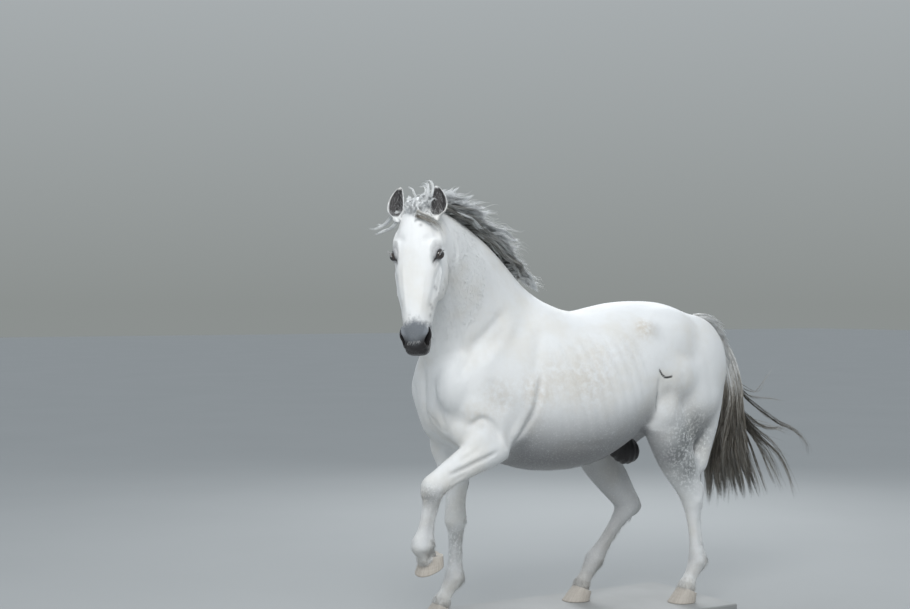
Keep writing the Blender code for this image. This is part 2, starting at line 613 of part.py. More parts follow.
def largest(ob):
    lab = islands(ob.data)
    ids, cnt = np.unique(lab, return_counts=True)
    if len(ids) > 1:
        keep = lab == ids[cnt.argmax()]
        bm = bmesh.new()
        bm.from_mesh(ob.data)
        bmesh.ops.delete(bm, geom=[v for v, k in zip(bm.verts, keep) if not k], context="VERTS")
        bm.to_mesh(ob.data)
        bm.free()
    return ob


def copy_of(ob, name, grow=0.0):
    new = bpy.data.objects.new(name, ob.data.copy())
    bpy.context.scene.collection.objects.link(new)
    if grow:
        m = new.modifiers.new("grow", "DISPLACE")
        m.strength = grow
        m.mid_level = 0.0
        bake(new)
    return new


def cut(ob, tool, how="DIFFERENCE"):
    m = ob.modifiers.new("cut", "BOOLEAN")
    m.operation = how
    m.solver = "EXACT"
    m.object = tool
    bake(ob)
    return ob


def drop(*obs):
    for ob in obs:
        bpy.data.objects.remove(ob)


def slice_box(at, normal, half, along_x=None):
    """A plate one gap thick that parts a limb."""
    bm = bmesh.new()
    bmesh.ops.create_cube(bm, size=1.0)
    z = unit(normal)
    x = unit(np.cross((0.0, 1.0, 0.0), z)) if along_x is None else unit(along_x - z * (along_x @ z))
    y = np.cross(z, x)
    m = np.eye(4)
    m[:3, 0], m[:3, 1], m[:3, 2], m[:3, 3] = x * half[0] * 2, y * half[1] * 2, z * GAP, at
    bmesh.ops.transform(bm, matrix=Matrix(m.tolist()), verts=bm.verts)
    return link("slice", bm)


def between(j, a, b, t):
    return np.asarray(j[a], float) * (1 - t) + np.asarray(j[b], float) * t


LEGS = {"fore_left": NEAR_FORE, "fore_right": OFF_FORE, "hind_left": NEAR_HIND, "hind_right": OFF_HIND}


def slices():
    """Where the body parts meet: place, way across, half sizes."""
    top, low = np.array((-0.800, -0.250, 1.850)), np.array((-0.868, -0.185, 1.450))
    way = np.array(NECK)[6, :3] - np.array(NECK)[4, :3]
    across = unit(way) - unit(top - low) * (unit(way) @ unit(top - low))
    out = [((top + low) / 2, across, (0.30, 0.19), top - low),
           (np.array((-0.50, -0.02, 1.275)), (-0.63, -0.05, 0.78), (0.47, 0.36), None)]
    for name, j in LEGS.items():
        if name.startswith("fore"):
            d = unit(between(j, "elbow", "knee", 1) - between(j, "elbow", "knee", 0))
            out.append((between(j, "elbow", "knee", 0.52), d, (0.15, 0.12), None))
            c = unit(between(j, "knee", "fetlock", 1) - between(j, "knee", "fetlock", 0))
            out.append((between(j, "knee", "fetlock", 0.0), unit(c + d), (0.10, 0.085), None))
        else:
            d = unit(between(j, "stifle", "hock", 1) - between(j, "stifle", "hock", 0))
            at = between(j, "stifle", "hock", 0.62) + np.array((0.02, 0, 0))
            at = at * (1, 0, 1) + (0, math.copysign(0.15, at[1]), 0)
            out.append((at, unit(d - UP), (0.22, 0.145), None))
            c = unit(between(j, "hock", "fetlock", 1) - between(j, "hock", "fetlock", 0))
            out.append((between(j, "hock", "fetlock", 0.14), c, (0.12, 0.085), None))
    return out


def part_names():
    """A point well inside each piece of the body."""
    out = {"head": hp(0.30, -0.08), "neck": np.array((-0.72, -0.15, 1.58)), "trunk": np.array((0, 0, 1.05))}
    for name, j in LEGS.items():
        if name.startswith("fore"):
            out[name + "_forearm"] = between(j, "elbow", "knee", 0.72)
            out[name + "_cannon"] = between(j, "knee", "fetlock", 0.5)
        else:
            out[name + "_gaskin"] = between(j, "stifle", "hock", 0.70)
            out[name + "_cannon"] = between(j, "hock", "fetlock", 0.55)
    return out


def separate(ob):
    """One object for each connected piece, named by the point it lies nearest."""
    names = part_names()
    lab = islands(ob.data)
    co = coords(ob.data)
    made = {}
    for k in np.unique(lab):
        pts = co[lab == k]
        mid = (pts.min(0) + pts.max(0)) / 2
        name = min(names, key=lambda n: np.linalg.norm(names[n] - mid))
        bm = bmesh.new()
        bm.from_mesh(ob.data)
        bmesh.ops.delete(bm, geom=[v for v, i in zip(bm.verts, lab) if i != k], context="VERTS")
        if name in made:
            raise RuntimeError("two pieces want the name " + name)
        made[name] = link(name, bm)
    missing = set(names) - set(made)
    if missing:
        raise RuntimeError("no piece for " + ", ".join(sorted(missing)))
    drop(ob)
    return made


def eyeball(s):
    bm = bmesh.new()
    ball(bm, hp(0.206, -0.016, s * 0.0890), (EYE_R, EYE_R, EYE_R), H_A, H_L, 2)
    return link("eye_left" if s > 0 else "eye_right", bm)


def hoof_of(name, j):
    toe, down = ((-1, 0, 0), (0, 0, -1)) if name != "fore_left" else (NEAR_TOE, NEAR_DOWN)
    bm = bmesh.new()
    hoof(bm, np.asarray(j["sole"], float) + (0.0, 0.0, GAP), toe, down)
    return link(name + "_hoof", bm)


def stand_base():
    bm = bmesh.new()
    bmesh.ops.create_cube(bm, size=1.0)
    bmesh.ops.scale(bm, vec=BASE, verts=bm.verts)
    bmesh.ops.translate(bm, vec=(*BASE_AT, -BASE[2] / 2), verts=bm.verts)
    ob = link("stand_base", bm)
    m = ob.modifiers.new("edge", "BEVEL")
    m.width = 0.006
    m.segments = 2
    return bake(ob)


COLOURS = {  # base colour, roughness
    "coat": ((0.70, 0.72, 0.70), 0.75),
    "muzzle": ((0.70, 0.72, 0.70), 0.7),
    "hair": ((0.46, 0.44, 0.43), 0.6),
    "eye": ((0.010, 0.008, 0.007), 0.08),
    "hoof": ((0.36, 0.31, 0.25), 0.5),
    "skin": ((0.030, 0.028, 0.030), 0.6),
    "base": ((0.20, 0.19, 0.18), 0.55),
}


def paint(ob, kind):
    colour, rough = COLOURS[kind]
    mat = bpy.data.materials.new(ob.name + "_" + kind)
    mat.use_nodes = True
    p = mat.node_tree.nodes["Principled BSDF"]
    p.inputs["Base Color"].default_value = (*colour, 1.0)
    p.inputs["Roughness"].default_value = rough
    p.inputs["Metallic"].default_value = 0.0
    ob.data.materials.clear()
    ob.data.materials.append(mat)
    return ob


def coarse(co):
    """Weights of the thinning: the head and feet keep more triangles."""
    w = np.full(len(co), 0.92)
    hd = np.linalg.norm(co - hp(0.28, -0.08), axis=1)
    w = np.where(hd < 0.38, 0.70, w)
    return np.where(co[:, 2] < 0.66, 0.65, w)


def few(n):
    return lambda co: np.full(len(co), float(n))


def build():
    for ob in list(bpy.data.objects):
        bpy.data.objects.remove(ob)
    flesh = filled("flesh", body, VOXEL, body_rounds, 4100, coarse)
    hooves = [hoof_of(name, j) for name, j in LEGS.items()]
    eyes = [eyeball(s) for s in (-1, 1)]
    made = {"eye": eyes, "hoof": hooves}
    skull = copy_of(flesh, "skull", GAP)
    hair = [filled("mane", mane, 0.009, few(3), 480), filled("forelock", forelock, 0.006, few(1), 240),
            filled("tail", tail, 0.009, few(1), 900)]
    ears = []
    for s in (-1, 1):
        bm = bmesh.new()
        ear(bm, s)
        e = link("ear_left" if s > 0 else "ear_right", bm)
        ears.append(largest(cut(e, skull)))
    for ob in hair:
        largest(cut(ob, skull))
    for e in ears:
        tool = copy_of(e, "tool", GAP)
        for ob in hair[:2]:
            largest(cut(ob, tool))
        drop(tool)
    tool = copy_of(hair[1], "tool", GAP)
    largest(cut(hair[0], tool))
    drop(tool, skull)
    for ob in hooves + eyes:
        tool = copy_of(ob, "tool", GAP)
        cut(flesh, tool)
        drop(tool)
    for at, normal, half, way in slices():
        tool = slice_box(at, normal, half, way)
        cut(flesh, tool)
        drop(tool)
    made["coat"] = list(separate(flesh).values()) + ears
    made["hair"] = hair
    made["base"] = [stand_base()]
    room = bpy.data.collections.new("stallion")
    bpy.context.scene.collection.children.link(room)
    for kind, obs in made.items():
        for ob in obs:
            paint(ob, kind)
            ob.location = SHIFT
            bpy.context.scene.collection.objects.unlink(ob)
            room.objects.link(ob)


build()
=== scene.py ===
"""The looks of the white stallion: one skin over the whole body, its short coat, mane, tail, eyes and hooves.

Every shape is made in the horse's own axes, in metres: it looks along -X, its left side is toward -Y and
its soles are at z 0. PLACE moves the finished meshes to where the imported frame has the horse.
"""
import math
import bmesh
import bpy
import numpy as np
from mathutils import Matrix, Vector
from mathutils.bvhtree import BVHTree


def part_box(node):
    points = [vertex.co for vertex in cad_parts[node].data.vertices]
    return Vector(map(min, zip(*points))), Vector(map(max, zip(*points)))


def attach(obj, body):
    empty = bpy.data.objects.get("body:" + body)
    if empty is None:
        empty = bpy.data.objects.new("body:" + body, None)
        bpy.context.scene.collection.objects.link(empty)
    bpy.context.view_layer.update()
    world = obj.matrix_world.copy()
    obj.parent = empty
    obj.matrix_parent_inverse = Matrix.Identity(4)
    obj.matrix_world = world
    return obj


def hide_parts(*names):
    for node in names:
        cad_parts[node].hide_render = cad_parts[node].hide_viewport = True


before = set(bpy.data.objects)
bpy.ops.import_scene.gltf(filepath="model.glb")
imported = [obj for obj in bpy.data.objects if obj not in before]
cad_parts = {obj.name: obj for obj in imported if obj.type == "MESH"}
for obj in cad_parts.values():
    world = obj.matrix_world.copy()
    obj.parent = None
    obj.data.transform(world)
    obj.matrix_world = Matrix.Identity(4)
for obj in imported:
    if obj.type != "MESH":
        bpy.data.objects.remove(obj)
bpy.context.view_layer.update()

BASE_LOW, BASE_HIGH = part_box("stand_base")
BASE_MIDDLE = (BASE_LOW + BASE_HIGH) / 2
BEHIND = 0.05           # the horse's origin lies this far behind the middle of its base
PLACE = np.array((BASE_MIDDLE.x + BEHIND, BASE_MIDDLE.y, BASE_HIGH.z))

UP = np.array((0.0, 0.0, 1.0))
AHEAD = np.array((-1.0, 0.0, 0.0))
ACROSS = (0, 1, 0)


# ---------------------------------------------------------------- points, rings and simple bodies
def unit(v):
    v = np.asarray(v, float)
    return v / np.linalg.norm(v)


def square_to(v, axis):
    """The direction of v with what runs along axis taken out."""
    v = np.asarray(v, float)
    return unit(v - axis * (v @ axis))


def spline(rows, per):
    """Catmull-Rom through the rows of a table, per samples to a span."""
    r = np.asarray(rows, float)
    r = np.vstack((2 * r[0] - r[1], r, 2 * r[-1] - r[-2]))
    out = []
    for i in range(1, len(r) - 2):
        for t in np.arange(per) / per:
            a = 2 * r[i]
            b = r[i + 1] - r[i - 1]
            c = 2 * r[i - 1] - 5 * r[i] + 4 * r[i + 1] - r[i + 2]
            d = 3 * r[i] - r[i - 1] - 3 * r[i + 1] + r[i + 2]
            out.append(0.5 * (a + b * t + c * t * t + d * t ** 3))
    out.append(r[-2])
    return np.array(out)


def units(v):
    """Each row of an array at length 1."""
    return v / np.maximum(np.linalg.norm(v, axis=-1, keepdims=True), 1e-9)


def place_on(points, t):
    """The point at a fraction of the way through a row of points."""
    u = np.clip(t, 0, 1) * (len(points) - 1)
    i = min(int(u), len(points) - 2)
    return points[i] * (1 - u + i) + points[i + 1] * (u - i)


def section(o, a, b, ra, rb, n, seg):
    """One closed ring: superellipse with its own radius and roundness above and below."""
    t = 2 * math.pi * np.arange(seg) / seg
    c, s = np.cos(t), np.sin(t)
    k = np.where(s > 0, n[0], n[1])
    y = np.where(c > 0, ra[0], ra[1]) * np.sign(c) * np.abs(c) ** (2 / k)
    z = np.where(s > 0, rb[0], rb[1]) * np.sign(s) * np.abs(s) ** (2 / k)
    return o + y[:, None] * a + z[:, None] * b


def ring_walls(bm, rings):
    """Join each ring to the next with a band of faces, and give back the rings' vertices."""
    rows = [[bm.verts.new(p) for p in ring] for ring in rings]
    for u, v in zip(rows, rows[1:]):
        for i in range(len(u)):
            j = (i + 1) % len(u)
            bm.faces.new((u[i], u[j], v[j], v[i]))
    return rows


def skin_rings(bm, rings):
    """Loft a list of rings into one closed mesh."""
    rows = ring_walls(bm, rings)
    for row, ring, flip in ((rows[0], rings[0], -1), (rows[-1], rings[-1], 1)):
        tip = bm.verts.new(np.mean(ring, axis=0))
        for i in range(len(row)):
            corners = (row[i], row[(i + 1) % len(row)], tip)
            bm.faces.new(corners[::flip])


def loft(bm, rows, per, seg):
    """Table rows: origin 3, across 3, over 3, radii a+ a- b+ b-, roundness above below."""
    rings = []
    for r in spline(rows, per):
        a, b = unit(r[3:6]), unit(r[6:9])
        rings.append(section(r[0:3], a, b, r[9:11], r[11:13], np.maximum(r[13:15], 1.1), seg))
    skin_rings(bm, rings)


def ball(bm, at, radii, x=(1, 0, 0), z=(0, 0, 1)):
    """An ellipsoid with its own x and z directions."""
    x = unit(x)
    z = square_to(z, x)
    y = np.cross(z, x)
    m = np.eye(4)
    m[:3, 0], m[:3, 1], m[:3, 2], m[:3, 3] = x * radii[0], y * radii[1], z * radii[2], at
    bmesh.ops.create_icosphere(bm, subdivisions=3, radius=1.0, matrix=Matrix(m.tolist()))


def along(bm, p, q, rp, rq, side, flat=(1.0, 1.0), mid=None):
    """A muscle or bone belly from p to q: radii at each end and at the middle, flattened."""
    p, q = np.asarray(p, float), np.asarray(q, float)
    d = unit(q - p)
    a = square_to(side, d)
    b = np.cross(a, d)
    mid = mid or (rp + rq) / 2 * 1.15
    steps = ((0, rp * 0.25), (0.06, rp * 0.75), (0.2, rp), (0.5, mid),
             (0.8, rq), (0.94, rq * 0.75), (1, rq * 0.25))
    rows = []
    for t, r in steps:
        wide, thick = r * flat[0], r * flat[1]
        rows.append((*(p + (q - p) * t), *a, *b, wide, wide, thick, thick, 2, 2))
    loft(bm, rows, 4, 20)


# ---------------------------------------------------------------- trunk
def trunk(bm):
    stations = (  # x, top, bottom, half width, height of the widest, roundness above and below
        (-0.790, 1.170, 0.960, 0.080, 1.06, 2.0, 2.0),
        (-0.760, 1.230, 0.890, 0.160, 1.06, 2.0, 2.0),
        (-0.700, 1.310, 0.825, 0.215, 1.07, 2.0, 2.1),
        (-0.600, 1.395, 0.765, 0.245, 1.06, 1.9, 2.1),
        (-0.500, 1.450, 0.730, 0.255, 1.04, 1.8, 2.1),
        (-0.400, 1.485, 0.705, 0.265, 1.02, 1.7, 2.0),
        (-0.300, 1.490, 0.675, 0.285, 1.01, 1.7, 2.0),
        (-0.210, 1.465, 0.658, 0.305, 1.01, 1.8, 2.0),
        (-0.100, 1.420, 0.654, 0.322, 1.01, 1.95, 2.0),
        (0.000, 1.402, 0.660, 0.330, 1.02, 2.1, 2.0),
        (0.110, 1.420, 0.685, 0.328, 1.04, 2.15, 2.0),
        (0.220, 1.442, 0.735, 0.315, 1.08, 2.1, 2.0),
        (0.330, 1.452, 0.800, 0.295, 1.12, 2.1, 2.0),
        (0.430, 1.452, 0.870, 0.280, 1.15, 2.1, 2.0),
        (0.530, 1.438, 0.925, 0.262, 1.17, 2.1, 2.0),
        (0.620, 1.408, 0.965, 0.232, 1.18, 2.1, 2.0),
        (0.700, 1.375, 1.000, 0.185, 1.18, 2.0, 2.0),
        (0.760, 1.330, 1.040, 0.125, 1.18, 2.0, 2.0),
        (0.800, 1.260, 1.090, 0.060, 1.18, 2.0, 2.0),
    )
    rows = []
    for x, top, low, w, mid, over, under in stations:
        rows.append((x, 0, mid, 0, 1, 0, 0, 0, 1, w, w, top - mid, mid - low, over, under))
    loft(bm, rows, 4, 40)


# ---------------------------------------------------------------- neck
NECK = (  # crest 3, under line 3, half width, roundness crest, roundness below
    (-0.19, 0.000, 1.460, -0.60, 0.000, 0.880, 0.215, 1.9, 2.1),
    (-0.28, -0.005, 1.520, -0.71, -0.005, 1.000, 0.200, 1.8, 2.1),
    (-0.365, -0.035, 1.590, -0.780, -0.025, 1.130, 0.175, 1.75, 2.0),
    (-0.46, -0.085, 1.656, -0.820, -0.060, 1.260, 0.152, 1.75, 2.0),
    (-0.57, -0.145, 1.714, -0.855, -0.115, 1.375, 0.134, 1.8, 2.0),
    (-0.69, -0.200, 1.768, -0.885, -0.170, 1.465, 0.120, 1.85, 2.0),
    (-0.83, -0.270, 1.820, -0.915, -0.225, 1.545, 0.108, 1.9, 2.0),
    (-0.950, -0.325, 1.845, -0.955, -0.280, 1.610, 0.094, 2.0, 2.0),
)


def neck(bm):
    tab = np.array(NECK)
    mid = (tab[:, 0:3] + tab[:, 3:6]) / 2
    rows = []
    for i, r in enumerate(tab):
        t = mid[min(i + 1, len(tab) - 1)] - mid[max(i - 1, 0)]
        b = unit(r[0:3] - r[3:6])
        a = unit(np.cross(b, unit(t)))
        h = np.linalg.norm(r[0:3] - r[3:6]) / 2
        o = mid[i] - b * h * 0.1
        rows.append((*o, *a, *b, r[6], r[6], h * 1.1, h * 0.9, r[7], r[8]))
    loft(bm, rows, 5, 36)


# ---------------------------------------------------------------- head
POLL = np.array((-1.022, -0.359, 1.838))
HEAD_TURN = math.radians(47)
HEAD_PITCH = math.radians(11)
HEAD_ROLL = math.radians(1.5)
HEADING = np.array((-math.cos(HEAD_TURN), -math.sin(HEAD_TURN), 0.0))
H_N = math.cos(HEAD_PITCH) * HEADING + math.sin(HEAD_PITCH) * UP      # out of the forehead
H_0 = math.sin(HEAD_PITCH) * HEADING - math.cos(HEAD_PITCH) * UP
H_1 = np.cross(UP, HEADING)
H_A = math.cos(HEAD_ROLL) * H_0 + math.sin(HEAD_ROLL) * H_1           # poll to muzzle
H_L = math.cos(HEAD_ROLL) * H_1 - math.sin(HEAD_ROLL) * H_0           # the horse's left


def hp(a, n, s=0.0):
    """A point from its place in the head's axes: along, out of the forehead, to the left."""
    return POLL + a * H_A + n * H_N + s * H_L


def head_place(p):
    """The place of each point in the head's axes."""
    q = p - POLL
    return q @ H_A, q @ H_N, q @ H_L


def head(bm):
    stations = (  # along, dorsal, ventral, half width, level of the widest, roundness above and below
        (-0.045, 0.000, -0.120, 0.030, -0.05, 2.0, 2.0),
        (-0.020, 0.020, -0.150, 0.058, -0.05, 2.0, 2.0),
        (0.030, 0.034, -0.180, 0.078, -0.05, 2.1, 2.0),
        (0.090, 0.044, -0.215, 0.087, -0.05, 2.4, 2.0),
        (0.150, 0.048, -0.240, 0.092, -0.05, 2.7, 2.0),
        (0.210, 0.046, -0.250, 0.094, -0.05, 2.8, 1.9),
        (0.267, 0.041, -0.240, 0.096, -0.05, 2.7, 1.8),
        (0.325, 0.036, -0.214, 0.091, -0.05, 2.5, 1.8),
        (0.382, 0.033, -0.180, 0.083, -0.05, 2.3, 1.9),
        (0.430, 0.030, -0.150, 0.071, -0.05, 2.2, 2.0),
        (0.478, 0.027, -0.132, 0.063, -0.05, 2.1, 2.2),
        (0.526, 0.020, -0.122, 0.058, -0.05, 2.2, 2.3),
        (0.564, 0.008, -0.116, 0.057, -0.05, 2.3, 2.4),
        (0.598, -0.014, -0.105, 0.053, -0.055, 2.4, 2.4),
        (0.618, -0.038, -0.085, 0.039, -0.06, 2.6, 2.6),
    )
    rows = []
    for a, top, low, w, mid, over, under in stations:
        rows.append((*hp(a, mid), *H_L, *H_N, w, w, top - mid, mid - low, over, under))
    loft(bm, rows, 5, 32)
    for s in (-1, 1):
        ball(bm, hp(0.195, 0.006, s * 0.084), (0.050, 0.030, 0.030), H_A, H_L)       # brow
        ball(bm, hp(0.212, -0.012, s * 0.084), (0.034, 0.028, 0.027), H_A, H_L)      # orbit
        along(bm, hp(0.09, -0.03, s * 0.074), hp(0.19, -0.02, s * 0.092), 0.022, 0.022, H_L)
        along(bm, hp(0.235, -0.055, s * 0.086), hp(0.40, -0.045, s * 0.064), 0.020, 0.012, H_L)
        ball(bm, hp(0.245, -0.135, s * 0.064), (0.135, 0.098, 0.042), H_A, H_L)      # cheek
        ball(bm, hp(0.533, -0.028, s * 0.046), (0.034, 0.034, 0.022), H_A, H_L)      # nostril
    ball(bm, hp(0.579, -0.045, 0), (0.036, 0.045, 0.049), H_A, H_L)                  # upper lip
    ball(bm, hp(0.579, -0.100, 0), (0.034, 0.036, 0.038), H_A, H_L)                  # chin


EAR_LEN = 0.138


def ear_frame(s):
    """Root of an ear, and the ways it points, faces and spreads; s is 1 for the left ear, -1 for the other."""
    base = hp(0.048, 0.005, s * 0.083)
    up = unit(-H_A + H_L * s * 0.03 - H_N * 0.10)
    face = square_to(unit(H_N * 0.95 + H_L * s * 0.08), up)
    return base, up, face, np.cross(up, face)


# ---------------------------------------------------------------- limbs
def limb(bm, joints, marks):
    """Marks: a joint and the fraction of the way to the next, half breadth, reach forward, reach back."""
    p = []
    for m in marks:
        i = min(int(m[0]), len(joints) - 2)
        t = m[0] - i
        p.append(joints[i] * (1 - t) + joints[i + 1] * t)
    rows = []
    for i, (_, breadth, forward, back) in enumerate(marks):
        t = unit(p[min(i + 1, len(p) - 1)] - p[max(i - 1, 0)])
        b = square_to(AHEAD, t)
        a = unit(np.cross(b, t))
        rows.append((*p[i], *a, *b, breadth, breadth, forward, back, 2.1, 2.1))
    loft(bm, rows, 4, 24)


OFF_FORE_MARKS = (  # elbow 0, knee 1, fetlock 2, coronet 3
    (0.00, 0.075, 0.158, 0.088), (0.20, 0.072, 0.148, 0.080), (0.40, 0.062, 0.106, 0.066),
    (0.60, 0.052, 0.068, 0.054), (0.78, 0.046, 0.054, 0.046), (0.90, 0.049, 0.053, 0.050),
    (1.00, 0.052, 0.054, 0.053), (1.12, 0.046, 0.046, 0.046), (1.25, 0.034, 0.035, 0.041),
    (1.50, 0.029, 0.030, 0.041), (1.75, 0.031, 0.031, 0.043), (1.90, 0.042, 0.039, 0.050),
    (2.00, 0.045, 0.043, 0.054), (2.20, 0.038, 0.038, 0.044), (2.50, 0.034, 0.035, 0.036),
    (2.75, 0.040, 0.040, 0.038), (3.00, 0.040, 0.040, 0.036),
)
NEAR_FORE_MARKS = (
    (0.00, 0.075, 0.100, 0.088), (0.20, 0.072, 0.098, 0.080), (0.40, 0.064, 0.088, 0.067),
    (0.60, 0.056, 0.080, 0.054), (0.78, 0.051, 0.074, 0.044), (0.90, 0.053, 0.068, 0.043),
    (1.00, 0.056, 0.064, 0.048), (1.12, 0.049, 0.056, 0.044), (1.25, 0.035, 0.040, 0.041),
    (1.50, 0.029, 0.034, 0.039), (1.75, 0.032, 0.036, 0.045), (1.90, 0.043, 0.048, 0.060),
    (2.00, 0.046, 0.052, 0.064), (2.20, 0.040, 0.046, 0.052), (2.50, 0.037, 0.040, 0.042),
    (2.75, 0.041, 0.042, 0.040), (3.00, 0.041, 0.042, 0.038),
)
HIND_MARKS = (  # stifle 0, hock 1, fetlock 2, coronet 3
    (0.00, 0.080, 0.090, 0.130), (0.25, 0.080, 0.094, 0.125), (0.50, 0.070, 0.094, 0.106),
    (0.70, 0.058, 0.080, 0.092), (0.85, 0.050, 0.066, 0.080), (1.00, 0.052, 0.060, 0.066),
    (1.12, 0.048, 0.051, 0.053), (1.25, 0.038, 0.040, 0.042), (1.50, 0.031, 0.032, 0.038),
    (1.75, 0.032, 0.032, 0.040), (1.90, 0.041, 0.038, 0.049), (2.00, 0.045, 0.042, 0.053),
    (2.20, 0.038, 0.038, 0.044), (2.50, 0.034, 0.035, 0.037), (2.75, 0.039, 0.040, 0.038),
    (3.00, 0.039, 0.040, 0.036),
)
OFF_FORE = dict(elbow=(-0.505, 0.170, 0.825), knee=(-0.552, 0.125, 0.445), fetlock=(-0.568, 0.120, 0.178),
                coronet=(-0.640, 0.120, 0.052), sole=(-0.658, 0.120, 0.0))
NEAR_FORE = dict(elbow=(-0.515, -0.190, 0.822), knee=(-0.848, -0.190, 0.636), fetlock=(-0.900, -0.178, 0.392),
                 coronet=(-0.853, -0.154, 0.320), sole=(-0.836, -0.145, 0.289))
NEAR_HIND = dict(stifle=(0.355, -0.205, 0.905), hock=(0.602, -0.158, 0.505), fetlock=(0.640, -0.152, 0.190),
                 coronet=(0.568, -0.150, 0.052), sole=(0.552, -0.150, 0.0))
OFF_HIND = dict(stifle=(0.165, 0.200, 0.850), hock=(0.447, 0.148, 0.435), fetlock=(0.235, 0.142, 0.190),
                coronet=(0.155, 0.140, 0.052), sole=(0.138, 0.140, 0.0))
LEGS = {"fore_left": NEAR_FORE, "fore_right": OFF_FORE, "hind_left": NEAR_HIND, "hind_right": OFF_HIND}
LIFTED_TOE = (-0.91, 0.05, -0.42)       # the lifted near fore hoof: where its toe and its sole point
LIFTED_DOWN = (0.42, 0.12, -0.90)


def joints_of(leg, *names):
    return [np.asarray(leg[name], float) for name in names]


def fore_leg(bm, leg, s):
    """s is -1 for the near side, the horse's left, and 1 for the off side."""
    joints = joints_of(leg, "elbow", "knee", "fetlock", "coronet")
    limb(bm, joints, NEAR_FORE_MARKS if s < 0 else OFF_FORE_MARKS)
    e, k = joints[:2]
    d = unit(k - e)
    fwd = square_to(AHEAD, d)
    out = np.array((0, s, 0.0))
    top = e + np.array((0.02, -s * 0.02, 0.10))
    along(bm, e + fwd * 0.058 - d * 0.005, e + d * 0.22 + fwd * 0.034 + out * 0.008, 0.086, 0.040, out,
          (0.78, 1.05), 0.070)
    heel = e - d * 0.04 - fwd * 0.040
    along(bm, heel, e + d * 0.24 - fwd * 0.026 + out * 0.008, 0.050, 0.030, out, (0.9, 1.0))
    along(bm, top, e + d * 0.10, 0.085, 0.070, out, (0.75, 1.0))
    ball(bm, k - fwd * 0.028 - d * 0.010, (0.024, 0.028, 0.028))
    ball(bm, k + fwd * 0.014 + d * 0.008, (0.042, 0.046, 0.044))


def hind_leg(bm, leg):
    joints = joints_of(leg, "stifle", "hock", "fetlock", "coronet")
    limb(bm, joints, HIND_MARKS)
    st, h, f = joints[:3]
    d = unit(h - st)
    back = square_to(-AHEAD, d)
    up = -unit(f - h)
    rear = square_to(-AHEAD, up)
    point = h + rear * 0.062 + up * 0.062
    along(bm, h + rear * 0.035 - up * 0.03, point, 0.028, 0.024, ACROSS, (0.85, 1.0))
    along(bm, st + d * 0.14 + back * 0.090, point, 0.035, 0.014, ACROSS, (0.8, 1.0))
    ball(bm, h - rear * 0.010, (0.046, 0.044, 0.050))


def shoulders(bm):
    for s in (-1, 1):
        e = joints_of(NEAR_FORE if s < 0 else OFF_FORE, "elbow")[0]
        point = np.array((-0.718, -0.140, 1.065) if s < 0 else (-0.690, 0.135, 1.050))
        low = point + np.array((0.03, 0, 0))
        along(bm, (-0.36, s * 0.110, 1.38), low, 0.070, 0.095, ACROSS, (0.75, 1.4), 0.100)
        ball(bm, point, (0.085, 0.080, 0.120))
        along(bm, low, e + np.array((0.02, 0, 0.03)), 0.095, 0.092, ACROSS, (0.85, 1.1), 0.100)
        low = e + np.array((0.03, 0, 0.04))
        along(bm, (-0.40, s * 0.165, 1.18), low, 0.100, 0.070, ACROSS, (0.75, 1.3), 0.115)
        low = e + np.array((0.055, s * 0.012, -0.010))
        along(bm, (-0.36, s * 0.200, 1.06), low, 0.050, 0.048, ACROSS, (0.8, 1.2), 0.062)
        ball(bm, (-0.690, s * 0.080, 0.960), (0.085, 0.085, 0.130))
        ball(bm, e + np.array((-0.10, -s * 0.06, 0.06)), (0.12, 0.09, 0.10))


def quarters(bm):
    for s, leg in ((-1, NEAR_HIND), (1, OFF_HIND)):
        st, h = joints_of(leg, "stifle", "hock")
        ball(bm, (0.285, s * 0.215, 1.305), (0.075, 0.050, 0.060))                  # point of hip
        ball(bm, (0.42, s * 0.130, 1.240), (0.26, 0.145, 0.190))                    # gluteals
        ball(bm, (0.61, s * 0.135, 1.130), (0.215, 0.130, 0.260))                   # biceps of the thigh
        low = st + np.array((0.02, 0, 0.02))
        along(bm, (0.44, s * 0.160, 1.20), low, 0.170, 0.105, ACROSS, (0.70, 1.25), 0.165)
        low = h + np.array((0.044, 0, 0.104))
        if s > 0:
            low = st * 0.45 + h * 0.55 + np.array((0.075, 0, 0.055))
        along(bm, (0.765, s * 0.110, 1.16), low, 0.080, 0.050, ACROSS, (0.9, 1.1), 0.076)
        low = st * 0.5 + h * 0.5 + np.array((0.03, 0, 0.05))
        along(bm, (0.62, s * 0.140, 1.12), low, 0.150, 0.080, ACROSS, (0.75, 1.3), 0.135)
        ball(bm, st + np.array((0.02, s * 0.01, 0.02)), (0.090, 0.080, 0.110))
    along(bm, (0.56, 0, 1.36), (0.785, 0, 1.310), 0.060, 0.036, ACROSS)             # root of the tail


def sheath(bm):
    along(bm, (0.225, 0, 0.738), (0.405, 0, 0.716), 0.052, 0.064, ACROSS, (0.80, 1.0), 0.076)


# ---------------------------------------------------------------- where the mane and the tail grow
CREST = spline(np.vstack((POLL - 0.02 * H_A - 0.01 * H_N, np.array(NECK)[::-1, :3]))[:-1], 8)
DOCK = spline(((0.690, 0.000, 1.368), (0.760, 0.002, 1.362), (0.840, 0.006, 1.325), (0.900, 0.010, 1.245),
               (0.930, 0.012, 1.150), (0.940, 0.014, 1.050)), 6)


def crest(t):
    """Point of the crest: 0 at the poll, 1 at the withers."""
    return place_on(CREST, t)


def crest_frame(t):
    """Across the crest and up from it."""
    back = unit(crest(t + 0.04) - crest(t - 0.04))
    side = unit(np.cross(UP, back))
    return side, np.cross(back, side)


def dock_at(t):
    """Point of the dock: 0 at its root, 1 at its tip."""
    return place_on(DOCK, t)


